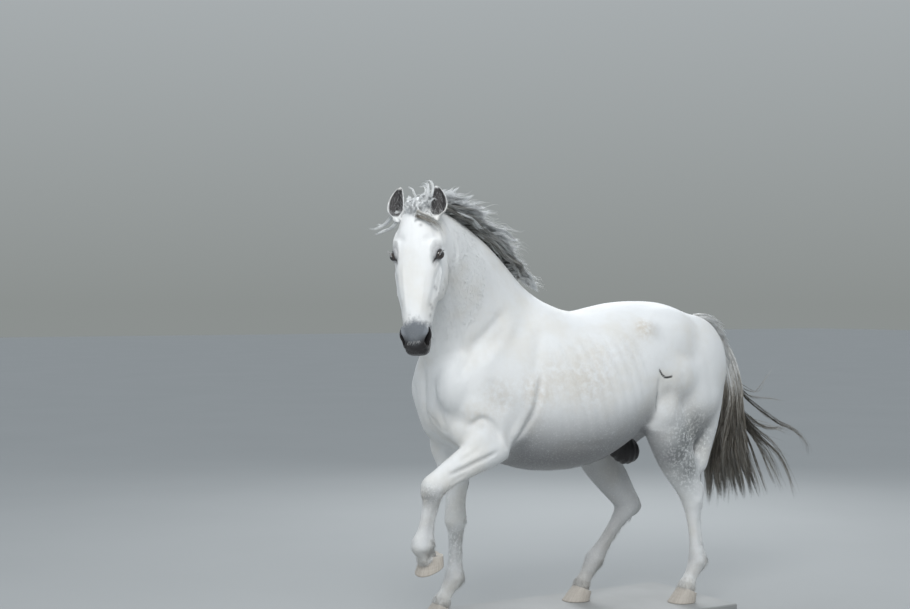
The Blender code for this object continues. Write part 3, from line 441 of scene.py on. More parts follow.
# ---------------------------------------------------------------- ears
def ear_half(q):
    """Half the breadth of the ear at a fraction of its height."""
    arch = np.sin(np.pi * np.minimum(1.0, 0.20 + 0.80 * q) ** 0.92)
    root = 0.017 + 0.020 * np.sin(np.pi / 2 * q / 0.25)
    return np.where(q < 0.25, root, 0.0005 + 0.037 * np.maximum(arch, 0.0) ** 0.62)


def ear_bow(q):
    """How far the middle of the ear swings outward at a fraction of its height."""
    return 0.008 * np.sin(np.pi * q) - 0.010 * q ** 3


def leaf_ear(bm, s):
    """The ear: a thin leaf rolled to a cup, open to the front, with a wall all round."""
    base, up, face, wide = ear_frame(s)
    arc = 15
    rings = []
    for t in np.linspace(-0.10, 1.0, 26):
        q = max(t, 0.0)
        half = float(ear_half(q))
        deep = 0.004 + 0.021 * (1 - q) ** 0.6
        wall = 0.0052 - 0.0026 * q
        gape = math.radians(46 + 46 * min(1, q * 2.2) ** 0.8)
        bow = wide * s * float(ear_bow(q)) - face * 0.008 * q ** 2
        o = base + up * (t * EAR_LEN) + bow
        ang = np.linspace(gape, 2 * math.pi - gape, arc)[:, None]
        outer = o + wide * np.sin(ang) * half + face * np.cos(ang) * deep + face * 0.006 * q * (1 - q)
        hollow = (max(half - wall, 0.0004), max(deep - wall, 0.0004))
        inner = o + wide * np.sin(ang) * hollow[0] + face * (np.cos(ang) * hollow[1] + 0.001)
        rings.append(np.vstack((outer, inner[::-1])))
    rows = ring_walls(bm, rings)
    for row, flip in ((rows[0], 1), (rows[-1], -1)):
        for i in range(arc - 1):
            corners = (row[i], row[-1 - i], row[-2 - i], row[i + 1])
            bm.faces.new(corners[::flip])


# ---------------------------------------------------------------- tools for meshes
VOXEL = 0.0076         # the fill of the whole body
COAT = 0.003           # depth of the coat: the skin lies this far inside the solids
CAD_VOXEL = 0.010      # the fill of the solids, whose smoothing is matched


def add(name, data):
    """A new object in the scene."""
    ob = bpy.data.objects.new(name, data)
    bpy.context.scene.collection.objects.link(ob)
    return ob


def link(name, bm):
    """A built mesh as an object of the scene."""
    me = bpy.data.meshes.new(name)
    bmesh.ops.recalc_face_normals(bm, faces=bm.faces)
    bm.to_mesh(me)
    bm.free()
    return add(name, me)


def bake(ob):
    """Keep the modifiers' result as the mesh."""
    dg = bpy.context.evaluated_depsgraph_get()
    me = bpy.data.meshes.new_from_object(ob.evaluated_get(dg))
    ob.modifiers.clear()
    ob.data = me


def read(items, key, width, kind=float):
    """One value of every item, as an array of rows."""
    values = np.empty(len(items) * width, kind)
    items.foreach_get(key, values)
    return values.reshape(-1, width)


def coords(me):
    return read(me.vertices, "co", 3)


def normals(me):
    return read(me.vertices, "normal", 3)


def edges(me):
    return read(me.edges, "vertices", 2, int)


def put(me, co):
    me.vertices.foreach_set("co", np.asarray(co, np.float32).ravel())
    me.update()


def tag(me, key, values):
    """Give every point of the mesh a value that its material reads."""
    me.attributes.new(key, "FLOAT", "POINT").data.foreach_set("value", np.asarray(values, np.float32).ravel())


def shade_smooth(me):
    me.polygons.foreach_set("use_smooth", np.ones(len(me.polygons), bool))


def relax(co, ed, rounds):
    """Average each point with its neighbours, as many rounds as it is given."""
    n = len(co)
    deg = np.maximum(np.bincount(ed.ravel(), minlength=n), 1)[:, None]
    for k in range(int(math.ceil(rounds.max()))):
        acc = np.empty_like(co)
        for i in range(3):
            acc[:, i] = np.bincount(ed[:, 0], co[ed[:, 1], i], n) + np.bincount(ed[:, 1], co[ed[:, 0], i], n)
        w = np.clip(rounds - k, 0, 1)[:, None] * 0.6
        co = co * (1 - w) + acc / deg * w
    return co


def body_rounds(co):
    """Smooth the broad masses more than the head and the lower limbs."""
    x, y, z = co.T
    w = np.full(len(co), 26.0)
    hd = np.linalg.norm(co - hp(0.3, -0.08), axis=1)
    w = np.minimum(w, 1.5 + np.clip((hd - 0.40) / 0.25, 0, 1) * 28)
    for leg in (OFF_FORE, NEAR_FORE):
        e, k = joints_of(leg, "elbow", "knee")
        d = unit(k - e)
        t = (co - e) @ d
        r = np.linalg.norm(co - e - t[:, None] * d, axis=1)
        near = (t > 0) & (r < 0.35) & (np.sign(e[1]) * y > 0)
        w = np.where(near, np.minimum(w, 2 + np.clip((0.22 - t) / 0.2, 0, 1) * 8), w)
    for s in (-1, 1):
        hind = (z < 0.84) & (s * y > 0.04) & (x > 0.1)
        w = np.where(hind, np.minimum(w, 2 + np.clip((z - 0.56) / 0.28, 0, 1) * 14), w)
    return np.where(z < 0.62, np.minimum(w, 2), w) * (CAD_VOXEL / VOXEL) ** 2


def body(bm):
    """The whole flesh as overlapping bodies, which the fill joins."""
    trunk(bm)
    neck(bm)
    head(bm)
    shoulders(bm)
    quarters(bm)
    sheath(bm)
    fore_leg(bm, OFF_FORE, 1)
    fore_leg(bm, NEAR_FORE, -1)
    hind_leg(bm, NEAR_HIND)
    hind_leg(bm, OFF_HIND)


def refine(ob, inside):
    """Halve the mesh where inside(coordinates) is true, and round it again."""
    bm = bmesh.new()
    bm.from_mesh(ob.data)
    pick = inside(coords(ob.data))
    cut = [e for e in bm.edges if pick[e.verts[0].index] and pick[e.verts[1].index]]
    bmesh.ops.subdivide_edges(bm, edges=cut, cuts=1, use_grid_fill=True)
    bm.to_mesh(ob.data)
    bm.free()
    co = coords(ob.data)
    put(ob.data, relax(co, edges(ob.data), inside(co) * 2.0))


def smooth(lo, hi, x):
    """0 up to lo, 1 from hi on, with a soft step between."""
    t = np.clip((x - lo) / (hi - lo), 0, 1)
    return t * t * (3 - 2 * t)


EYE_AT = (0.206, -0.016, 0.0890)
EYE_R = 0.0215
EYE_LONG = 0.0232      # half the opening, corner to corner
EYE_UPPER = 0.0158     # height of the upper lid's edge
EYE_LOWER = 0.0120


def eye_frame(s):
    """Centre, outward, toward the inner corner, up."""
    e = hp(EYE_AT[0], EYE_AT[1], s * EYE_AT[2])
    out = unit(H_L * s * 0.80 + H_N * 0.58 + H_A * 0.06)
    inner = H_A * 0.76 + (H_N * 0.80 - H_L * s * 0.58) * 0.62
    inner = unit(inner - out * (inner @ out))
    up = np.cross(inner, out) * s
    if up @ H_N < 0:
        up = -up
    return e, out, inner, up


class Skin:
    """The skin's points, the lift of each along its normal, and the masks of its markings and of painted
    shade.
    """

    def __init__(self, ob):
        self.ob = ob
        self.co = coords(ob.data)
        self.no = normals(ob.data)
        self.lift = np.zeros(len(self.co))
        # dark and grey hold the skin's own dark and grey, and also painted shade in creases, openings and
        # undersides
        self.masks = {k: np.zeros(len(self.co)) for k in ("muzzle", "dark", "grey", "stain", "speck", "dirt")}
        faces = [tuple(p.vertices) for p in ob.data.polygons]
        self.tree = BVHTree.FromPolygons([tuple(v) for v in self.co], faces)

    def onto(self, p):
        return np.array(self.tree.find_nearest(Vector(p))[0])

    def near(self, path, reach):
        """Points within reach of a path: their indices, distance, and place along it from 0 to 1."""
        path = np.asarray(path, float)
        box = (self.co > path.min(0) - reach).all(1) & (self.co < path.max(0) + reach).all(1)
        ids = np.flatnonzero(box)
        p = self.co[ids]
        best, place = np.full(len(ids), 1e9), np.zeros(len(ids))
        steps = np.linalg.norm(np.diff(path, axis=0), axis=1)
        total, run = steps.sum(), 0.0
        for a, b, step in zip(path, path[1:], steps):
            t = np.clip((p - a) @ (b - a) / max(step ** 2, 1e-12), 0, 1)
            d = np.linalg.norm(p - a - t[:, None] * (b - a), axis=1)
            nearer = d < best
            best[nearer] = d[nearer]
            place[nearer] = (run + t[nearer] * step) / total
            run += step
        keep = best < reach
        return ids[keep], best[keep], place[keep]

    def shade(self, mask, amount, ids=slice(None)):
        """Raise a marking to an amount where that is more than it has."""
        values = self.masks[mask]
        values[ids] = np.maximum(values[ids], amount)

    def line(self, points, width, depth, fade=0.25, mask=None, amount=1.0):
        """Press a crease into the skin along points; a negative depth raises a ridge."""
        path = spline([self.onto(p) for p in points], 6)
        ids, d, t = self.near(path, width * 2.6)
        g = np.exp(-(d / width) ** 2) * smooth(0, fade, t) * smooth(0, fade, 1 - t)
        self.lift[ids] -= depth * g
        if mask:
            self.shade(mask, g * amount, ids)

    def spot(self, at, radius, depth, mask=None, amount=1.0):
        """A round dent, or with a negative depth a bump."""
        q = (self.co - self.onto(at)) / radius
        g = np.exp(-(q ** 2).sum(1))
        self.lift -= depth * g
        if mask:
            self.shade(mask, g * amount)

    def patch(self, mask, at, radius, amount):
        """A round soft-edged patch of a marking."""
        self.spot(at, radius, 0.0, mask, amount)

    def settle(self):
        """Move the points by their lift, smooth once and start again from there."""
        self.co = self.co + self.no * self.lift[:, None]
        self.co = relax(self.co, edges(self.ob.data), np.ones(len(self.co)))
        put(self.ob.data, self.co)
        self.no = normals(self.ob.data)
        self.lift[:] = 0


def eyelids(sk, s):
    """Open the skin over the eyeball and lay both lids on it."""
    e, out, inner, up = eye_frame(s)
    q = sk.co - e
    r = np.linalg.norm(q, axis=1)
    ids = np.flatnonzero(r < 0.075)
    q, r = q[ids], r[ids]
    face = (q @ out) / r
    ids, q, r = ids[face > 0.15], q[face > 0.15], r[face > 0.15]
    x = q @ inner / r * (EYE_R + 0.003)
    y = q @ up / r * (EYE_R + 0.003)
    k = np.clip(1 - (x / EYE_LONG) ** 2, 0, 1)
    edge = np.where(y > 0, EYE_UPPER, EYE_LOWER) * k ** 0.8
    past = np.maximum(np.abs(x) - EYE_LONG, 0)
    within = np.minimum(edge - np.abs(y), 0.004) * (past == 0) * (np.abs(y) < edge)
    g = np.hypot(np.maximum(np.abs(y) - edge, 0), past) - within           # distance outside the opening
    lid = EYE_R + 0.0040 + 0.0012 * np.exp(-((g - 0.004) / 0.003) ** 2)    # its thick edge
    lid -= 0.0008 * np.exp(-((g - 0.0095) / 0.0022) ** 2)                  # and the folds round it
    lid += np.where(y > 0, 0.0012, 0.0008) * np.exp(-((g - 0.015) / 0.005) ** 2)
    lid -= 0.0008 * np.exp(-((g - 0.0195) / 0.002) ** 2)
    hidden = EYE_R - 0.0045
    opened = smooth(0.0008, -0.0012, g)
    w = np.exp(-(np.maximum(g, 0) / 0.015) ** 2)
    target = lid * (1 - opened) + hidden * opened
    new = r * (1 - w) + target * w
    sk.co[ids] = e + q / r[:, None] * new[:, None]
    corner = np.exp(-(((x - 0.026) / 0.011) ** 2 + ((y + 0.006) / 0.009) ** 2))
    sk.shade("grey", np.exp(-(np.maximum(g - 0.002, 0) / 0.0085) ** 2), ids)
    sk.shade("grey", 0.85 * corner, ids)
    sk.shade("dark", smooth(0.0052, 0.0008, g), ids)


def nostril(sk, s):
    """A comma-shaped hollow with a rolled rim."""
    opening = ((0.512, -0.016, 0.052), (0.530, -0.014, 0.055), (0.547, -0.016, 0.050), (0.564, -0.024, 0.041),
               (0.573, -0.036, 0.033))
    radius = (0.003, 0.008, 0.0125, 0.013, 0.008)
    path = spline([sk.onto(hp(a, n, s * w)) for a, n, w in opening], 5)
    ids, d, t = sk.near(path, 0.045)
    r = np.interp(t, np.linspace(0, 1, len(radius)), radius)
    inward = unit(hp(0.510, -0.075, s * 0.004) - hp(0.555, -0.02, s * 0.048))
    deep = smooth(1.12, 0.30, d / r)
    sk.co[ids] += inward * (deep * 0.028 * np.minimum(1, r / 0.010))[:, None]
    rim = np.exp(-((d - r * 1.22) / 0.005) ** 2)
    sk.co[ids] += sk.no[ids] * (rim * 0.0045)[:, None]
    sk.co[ids] -= sk.no[ids] * (np.exp(-((d - r * 1.3 - 0.014) / 0.006) ** 2) * 0.0015)[:, None]
    # the opening painted near black: the nostril's dark skin, and painted shade for the depth of the opening
    sk.shade("dark", smooth(1.20, 0.72, d / r), ids)


def ear_space(co, s):
    """Each point in the ear's own axes: along, across, forward."""
    base, up, face, wide = ear_frame(s)
    q = co - base
    return q @ up, q @ wide, q @ face


HEAD_LINES = (      # points in the head's axes, width and depth; the same on both sides
    (((0.235, -0.050, 0.10), (0.31, -0.052, 0.09), (0.40, -0.046, 0.075)), 0.009, -0.0050),     # cheek bone
    (((0.26, -0.080, 0.10), (0.33, -0.082, 0.09), (0.41, -0.074, 0.07)), 0.013, 0.0050),
    (((0.26, -0.010, 0.10), (0.36, -0.008, 0.08), (0.47, -0.010, 0.06)), 0.016, 0.0050),
    (((0.25, 0.038, 0.05), (0.36, 0.036, 0.045), (0.48, 0.030, 0.035)), 0.009, -0.0022),        # nasal bone
    (((0.285, -0.10, 0.10), (0.320, -0.15, 0.08), (0.325, -0.20, 0.05)), 0.012, 0.0050),
    (((0.34, -0.19, 0.06), (0.315, -0.12, 0.09), (0.335, -0.065, 0.09), (0.41, -0.02, 0.08)),
     0.0035, -0.0022),                                                                          # veins
    (((0.335, -0.065, 0.09), (0.385, -0.062, 0.085), (0.46, -0.055, 0.07)), 0.003, -0.0014),
    (((0.24, -0.04, 0.11), (0.27, -0.025, 0.10), (0.30, -0.01, 0.09)), 0.004, 0.0012),          # tear line
    (((0.00, -0.07, 0.09), (0.07, -0.13, 0.11), (0.13, -0.20, 0.09), (0.17, -0.26, 0.05)),
     0.013, 0.0070),                                                                            # by the jaw
    (((0.02, -0.05, 0.10), (0.10, -0.09, 0.11), (0.17, -0.11, 0.11)), 0.016, -0.0030),
)
LIP = ((0.526, -0.086, -0.065), (0.560, -0.088, -0.058), (0.595, -0.084, -0.038), (0.622, -0.078, 0.0),
       (0.595, -0.084, 0.038), (0.560, -0.088, 0.058), (0.526, -0.086, 0.065))


def head_folds(sk):
    for s in (-1, 1):
        sk.spot(hp(0.150, 0.040, s * 0.058), 0.018, 0.0055)                      # hollow over the eye
        for points, width, depth in HEAD_LINES:
            sk.line([hp(a, n, s * w) for a, n, w in points], width, depth)
        for a in (0.514, 0.502, 0.490):                                          # corner of the mouth
            low = hp(a + 0.002, -0.098, s * 0.055)
            sk.line([hp(a, -0.070, s * 0.06), hp(a + 0.006, -0.083, s * 0.06), low], 0.003, 0.0012)
        for a in (0.487, 0.475, 0.463):                                          # above the nostril
            sk.line([hp(a, 0.006, s * 0.045), hp(a + 0.004, -0.012, s * 0.056), hp(a, -0.030, s * 0.060)],
                    0.004, 0.0010)
        sk.line([hp(0.559, -0.052, s * 0.052), hp(0.584, -0.040, s * 0.044), hp(0.601, -0.028, s * 0.026)],
                0.005, 0.0020)
    lip = [hp(*p) for p in LIP]
    # the parting of the lips: a crease painted black as painted shade
    sk.line(lip, 0.0042, 0.0085, 0.10, "dark", 1.0)
    sk.line([p + H_N * 0.010 for p in lip], 0.006, -0.0022, 0.15)
    sk.line([p - H_N * 0.011 for p in lip], 0.006, -0.0022, 0.15)
    sk.line([hp(0.584, -0.116, -0.035), hp(0.605, -0.118), hp(0.584, -0.116, 0.035)], 0.007, 0.0030)
    sk.line([hp(0.555, 0.012), hp(0.583, 0.0), hp(0.617, -0.045)], 0.006, 0.0018)
    sk.line([hp(0.05, 0.05), hp(0.15, 0.06), hp(0.24, 0.055)], 0.018, -0.0020)


def neck_at(t, v, s):
    """A place beside the neck: t counts the rows from the withers, v is -1 under and 1 at the crest."""
    tab = np.array(NECK)
    i = min(int(t), len(tab) - 2)
    r = tab[i] * (1 - t + i) + tab[i + 1] * (t - i)
    step = (tab[i + 1, 0:3] + tab[i + 1, 3:6] - tab[i, 0:3] - tab[i, 3:6]) / 2
    b = r[0:3] - r[3:6]
    a = unit(np.cross(unit(b), unit(step)))
    if a[1] * s < 0:
        a = -a
    return (r[0:3] + r[3:6]) / 2 + b / 2 * v + a * (r[6] * math.sqrt(max(0.05, 1 - v * v)) * 1.02)


BEHIND_ARM = ((-0.325, -0.27, 1.16), (-0.345, -0.27, 1.08), (-0.362, -0.26, 0.985), (-0.395, -0.25, 0.905),
              (-0.435, -0.229, 0.831), (-0.468, -0.225, 0.775))
BODY_LINES = (      # points of the near side, width and depth; the same on both sides
    (((-0.30, -0.19, 1.33), (-0.345, -0.25, 1.20), (-0.37, -0.27, 1.08)), 0.032, 0.0065),
    (((-0.40, -0.16, 1.38), (-0.52, -0.22, 1.25), (-0.65, -0.23, 1.11)), 0.030, -0.0055),       # shoulder
    (((-0.44, -0.16, 1.43), (-0.60, -0.21, 1.29), (-0.70, -0.21, 1.17), (-0.735, -0.17, 1.06)),
     0.024, 0.0080),
    (((-0.60, -0.24, 1.12), (-0.56, -0.26, 1.03), (-0.50, -0.26, 0.95)), 0.026, 0.0055),
    (((0.60, -0.21, 1.20), (0.645, -0.24, 1.02), (0.665, -0.22, 0.83)), 0.024, 0.0030),         # thigh
    (((0.40, -0.26, 1.22), (0.455, -0.28, 1.05), (0.50, -0.27, 0.90)), 0.028, 0.0028),
    (((0.30, -0.23, 1.30), (0.42, -0.25, 1.20), (0.60, -0.22, 1.16)), 0.030, 0.0040),
    (((0.298, -0.30, 1.11), (0.301, -0.289, 1.033), (0.305, -0.269, 0.962), (0.299, -0.247, 0.891),
      (0.290, -0.21, 0.842)), 0.011, 0.0075),                                                   # flank
    (((0.335, -0.30, 1.08), (0.345, -0.289, 1.00), (0.345, -0.269, 0.93)), 0.018, -0.0040),
    (((-0.25, -0.24, 0.80), (0.0, -0.25, 0.79), (0.20, -0.22, 0.83)), 0.020, 0.0025),           # belly
    (((-0.755, -0.10, 1.10), (-0.765, -0.105, 0.98), (-0.725, -0.11, 0.86)), 0.018, 0.0090),    # breast
)
BODY_SPOTS = (      # x, distance from the middle, height, radius, depth
    (0.285, 0.25, 1.315, 0.05, -0.004),                                                         # point of hip
    (0.20, 0.28, 1.22, 0.09, 0.008),                                                            # hollow flank
    (0.41, 0.17, 1.36, 0.08, 0.004),
    (0.13, 0.30, 0.98, 0.10, -0.004),
    (-0.34, 0.11, 1.44, 0.07, 0.005),
)
NECK_LINES = (      # places beside the neck, width and depth
    (((1.2, -0.62), (2.5, -0.62), (4.0, -0.60), (5.5, -0.55), (6.5, -0.5)), 0.016, 0.0065),     # the jugular
    (((1.0, 0.0), (2.5, 0.25), (4.0, 0.35), (6.0, 0.45)), 0.030, 0.0035),
    (((0.8, 0.70), (2.5, 0.72), (4.5, 0.74), (6.0, 0.74)), 0.022, 0.0040),                      # by the crest
)
RIB_STEP = 0.058        # from one rib to the next
RIB_LIFT = 0.0011       # how far a rib shows


def body_folds(sk):
    for s in (-1, 1):
        arm = [(x, -s * y, z) for x, y, z in BEHIND_ARM]
        sk.line(arm, 0.017, 0.0115, 0.30)
        sk.line([(x - 0.034, y, z) for x, y, z in arm], 0.022, -0.0050, 0.30)
        # painted shade: grey along the crease behind the arm
        sk.line([(x + 0.004, y, z) for x, y, z in arm[2:]], 0.007, 0.0040, 0.30, "grey", 0.35)
        for points, width, depth in BODY_LINES:
            sk.line([(x, -s * y, z) for x, y, z in points], width, depth)
        for x, y, z, radius, depth in BODY_SPOTS:
            sk.spot((x, s * y, z), radius, depth)
        for points, width, depth in NECK_LINES:
            sk.line([neck_at(t, v, s) for t, v in points], width, depth)
        for k in range(4):                                                       # folds at the throat
            t = 5.3 + 0.34 * k
            fold = ((t, -0.95), (t + 0.2, -0.6), (t + 0.45, -0.1))
            sk.line([neck_at(at, v, s) for at, v in fold], 0.008, 0.0014)
    sk.line([(-0.775, 0, 1.18), (-0.80, 0, 1.05), (-0.785, 0, 0.95), (-0.73, 0, 0.84)], 0.020, 0.0110)
    sk.line([(-0.12, 0, 1.43), (0.1, 0, 1.43), (0.35, 0, 1.46), (0.62, 0, 1.42)], 0.022, 0.0050)
    for k in range(5):                                                           # wrinkled chest
        z, y = 0.925 - 0.017 * k, -0.035 - 0.012 * k
        wrinkle = [(-0.80, y + 0.03, z + 0.022), (-0.77, y - 0.02, z), (-0.74, y - 0.065, z - 0.012)]
        sk.line(wrinkle, 0.0045, 0.0030)
    near_folds(sk)
    x, y, z = sk.co.T
    barrel = smooth(-0.33, -0.2, x) * smooth(0.28, 0.12, x) * smooth(0.74, 0.85, z) * smooth(1.32, 1.2, z)
    sk.lift += RIB_LIFT * np.sin(2 * math.pi * (x + 0.30 * z) / RIB_STEP) * barrel * (np.abs(y) > 0.15)


def near_folds(sk):
    """Creases of the near side alone: round the lifted forearm, and the fold at the flank; the groove along
    the forearm and the fold at the flank are painted darker as painted shade.
    """
    sk.line([(-0.690, -0.19, 0.880), (-0.668, -0.214, 0.905), (-0.632, -0.237, 0.930),
             (-0.590, -0.249, 0.912), (-0.556, -0.257, 0.868), (-0.536, -0.261, 0.812)], 0.015, 0.0130, 0.30)
    # painted shade: grey in the groove along the lifted forearm
    sk.line([(-0.81, -0.225, 0.690), (-0.727, -0.236, 0.722), (-0.671, -0.244, 0.745),
             (-0.626, -0.253, 0.762), (-0.55, -0.261, 0.795)], 0.0085, 0.0095, 0.2, "grey", 0.40)
    sk.line([(-0.76, -0.23, 0.742), (-0.70, -0.24, 0.775), (-0.64, -0.25, 0.810)], 0.012, 0.0040)
    # painted shade: the fold at the flank painted black
    sk.line([(0.294, -0.30, 1.135), (0.318, -0.297, 1.104), (0.345, -0.295, 1.090), (0.388, -0.294, 1.096)],
            0.0054, 0.0032, 0.12, "dark", 1.0)
    # painted shade: grey along the flank's crease, which body_folds presses
    sk.line([(0.298, -0.30, 1.05), (0.303, -0.27, 0.962), (0.302, -0.25, 0.90)],
            0.006, 0.0, 0.3, "grey", 0.70)


def leg_frame(p, q):
    """The ways down a segment of a leg, forward and across."""
    d = unit(q - p)
    f = square_to(AHEAD, d)
    return d, f, np.cross(d, f)


def hoof_frame(name):
    """The ways the toe and the sole of a hoof point."""
    toe, down = (LIFTED_TOE, LIFTED_DOWN) if name == "fore_left" else (AHEAD, -UP)
    down = unit(down)
    return square_to(unit(toe), down), down


def leg_folds(sk):
    for name, leg in LEGS.items():
        fore = name.startswith("fore")
        s = -1 if name.endswith("left") else 1
        top, mid = joints_of(leg, *(("elbow", "knee") if fore else ("stifle", "hock")))
        fetlock, coronet, sole = joints_of(leg, "fetlock", "coronet", "sole")
        cannon_folds(sk, mid, fetlock, coronet)
        if fore:
            knee_folds(sk, top, mid, fetlock, s)
        else:
            hock_folds(sk, top, mid, fetlock, s)
        rise = (sole - sk.co) @ hoof_frame(name)[1]
        close = np.linalg.norm(sk.co - sole, axis=1) < 0.15
        sk.lift += 0.0022 * np.exp(-((rise - 0.062) / 0.014) ** 2) * close                     # coronet
        sk.shade("dirt", close * smooth(0.16, 0.05, rise) * 0.65)
        sk.patch("grey", fetlock + leg_frame(mid, fetlock)[1] * 0.02, 0.055, 0.34 if fore else 0.22)


def cannon_folds(sk, mid, fetlock, coronet):
    """Tendons along the cannon, and the fetlock with its ergot."""
    d, f, a = leg_frame(mid, fetlock)
    span = np.linalg.norm(fetlock - mid)
    for side in (-1, 1):
        out = a * side * 0.04
        for back, depth, width in ((0.008, 0.0030, 0.0050), (0.022, 0.0042, 0.0055)):
            sk.line([mid + d * (span * t) - f * back + out for t in (0.20, 0.45, 0.70, 0.86)], width, depth)
        sk.spot(fetlock - d * 0.030 - f * 0.012 + out, 0.014, 0.0030)
        sk.spot((fetlock + coronet) / 2 - f * 0.004 + out, 0.018, 0.0040)
        sk.spot(fetlock + out + f * 0.004, 0.018, -0.0030)
    sk.spot(fetlock - f * 0.060 + d * 0.006, 0.010, -0.0045, "dark", 0.35)


def knee_folds(sk, elbow, knee, fetlock, s):
    """Wrinkles of the knee, the forearm's muscles, the chestnut inside it, and dirt."""
    d, f, a = leg_frame(knee, fetlock)
    u, g, _ = leg_frame(elbow, knee)
    for k in (-0.020, 0.004, 0.026):
        sk.line([knee + d * k + a * w + f * 0.06 for w in (-0.04, 0.0, 0.04)], 0.0050, 0.0022, 0.3)
    for side in (-1, 1):
        sk.spot(knee + a * side * 0.05 - f * 0.022 + d * 0.012, 0.014, 0.0045)
        sk.line([knee - u * h + a * side * 0.05 - g * 0.008 for h in (0.16, 0.10, 0.05)], 0.008, 0.0035)
    inner = knee - np.array((0, s * 0.04, 0)) - g * 0.050
    sk.line([inner - u * h for h in (0.185, 0.160, 0.135)], 0.0065, -0.0025, 0.2, "dark", 0.9)
    sk.patch("dirt", knee + f * 0.035 + d * 0.035, 0.034, 0.85 if s < 0 else 0.35)
    sk.patch("dirt", knee - g * 0.045 - u * 0.010, 0.030, 0.70 if s < 0 else 0.35)
    sk.patch("speck", knee + u * 0.085, 0.055, 0.55 if s > 0 else 0.2)


def hock_folds(sk, stifle, hock, fetlock, s):
    """The hollow before the tendon, the bones of the hock, the gaskin's muscles, and dirt."""
    d, f, a = leg_frame(hock, fetlock)
    u, g, b = leg_frame(stifle, hock)
    for side in (-1, 1):
        sk.line([hock - u * h + b * side * 0.05 - g * 0.030 for h in (0.17, 0.12, 0.06)], 0.015, 0.0075, 0.3)
        sk.spot(hock + d * 0.020 + a * side * 0.05 - f * 0.010, 0.014, -0.0030)
        sk.spot(hock - d * 0.012 + a * side * 0.05 + f * 0.012, 0.012, 0.0030)
    out = b * (0.08 if b[1] * s > 0 else -0.08)
    sk.line([stifle + u * (0.34 * t + 0.05) + out for t in (0, 0.3, 0.6, 0.9)], 0.016, 0.0022)
    sk.patch("dirt", hock - f * 0.07, 0.04, 0.45)


def sheath_folds(sk):
    x, y, z = sk.co.T
    mid = np.array((0.330, 0.0, 0.735))
    q = (sk.co - mid) / (0.165, 0.085, 0.100)
    inside = smooth(1.25, 0.95, np.sqrt((q ** 2).sum(1)))
    inside = inside * smooth(0.820, 0.785, z + 0.10 * np.clip(0.30 - x, 0, 1))
    sk.shade("dark", inside)
    sk.lift += 0.0022 * inside * np.sin(2 * math.pi * x / 0.030)
    sk.spot((0.192, 0, 0.720), 0.022, 0.012)
    sk.shade("grey", np.exp(-(((x - 0.36) / 0.17) ** 2 + (y / 0.11) ** 2 + ((z - 0.79) / 0.09) ** 2)) * 0.55)


FACE_SPOTS = (      # a place on the face and a radius
    (0.090, 0.05, 0.030, 0.007), (0.345, -0.03, 0.070, 0.008), (0.415, -0.02, 0.060, 0.007),
    (0.360, -0.05, 0.080, 0.006), (0.455, -0.03, 0.045, 0.009), (0.340, -0.02, 0.070, 0.010),
    (0.425, -0.03, 0.060, 0.010), (0.380, -0.04, -0.07, 0.008), (0.33, -0.12, 0.08, 0.006),
)
STAINS = (          # x, y, z, radius and strength of the yellow stains of the barrel, shoulder and thigh
    (-0.109, -0.311, 1.09, 0.13, 0.55), (-0.04, -0.297, 1.18, 0.10, 0.40), (-0.25, -0.282, 1.11, 0.10, 0.40),
    (0.12, -0.28, 1.22, 0.09, 0.30), (0.249, -0.247, 1.325, 0.050, 0.95), (0.249, -0.247, 1.325, 0.022, 1.0),
    (-0.37, -0.267, 1.04, 0.09, 0.60), (-0.55, -0.26, 1.02, 0.09, 0.50), (-0.64, -0.236, 0.95, 0.07, 0.35),
    (0.40, -0.28, 0.98, 0.10, 0.35), (0.10, 0.30, 1.05, 0.15, 0.45), (-0.37, 0.267, 1.02, 0.09, 0.55),
    (0.26, 0.247, 1.31, 0.06, 0.55), (0.55, 0.24, 0.98, 0.12, 0.35),
)
SPECKS = (          # the same, of the dark specks on gaskins and legs
    (0.50, -0.25, 0.79, 0.12, 1.0), (0.45, -0.256, 0.72, 0.10, 1.0), (0.59, -0.226, 0.80, 0.10, 1.0),
    (0.53, -0.233, 0.66, 0.10, 0.9), (0.56, -0.25, 0.86, 0.07, 0.8), (0.47, -0.26, 0.84, 0.07, 0.7),
    (0.40, 0.20, 0.62, 0.09, 0.6), (-0.53, 0.17, 0.50, 0.08, 0.4), (-0.55, 0.15, 0.30, 0.08, 0.5),
    (0.46, 0.16, 0.45, 0.07, 0.8), (-0.86, -0.19, 0.62, 0.05, 0.5),
)


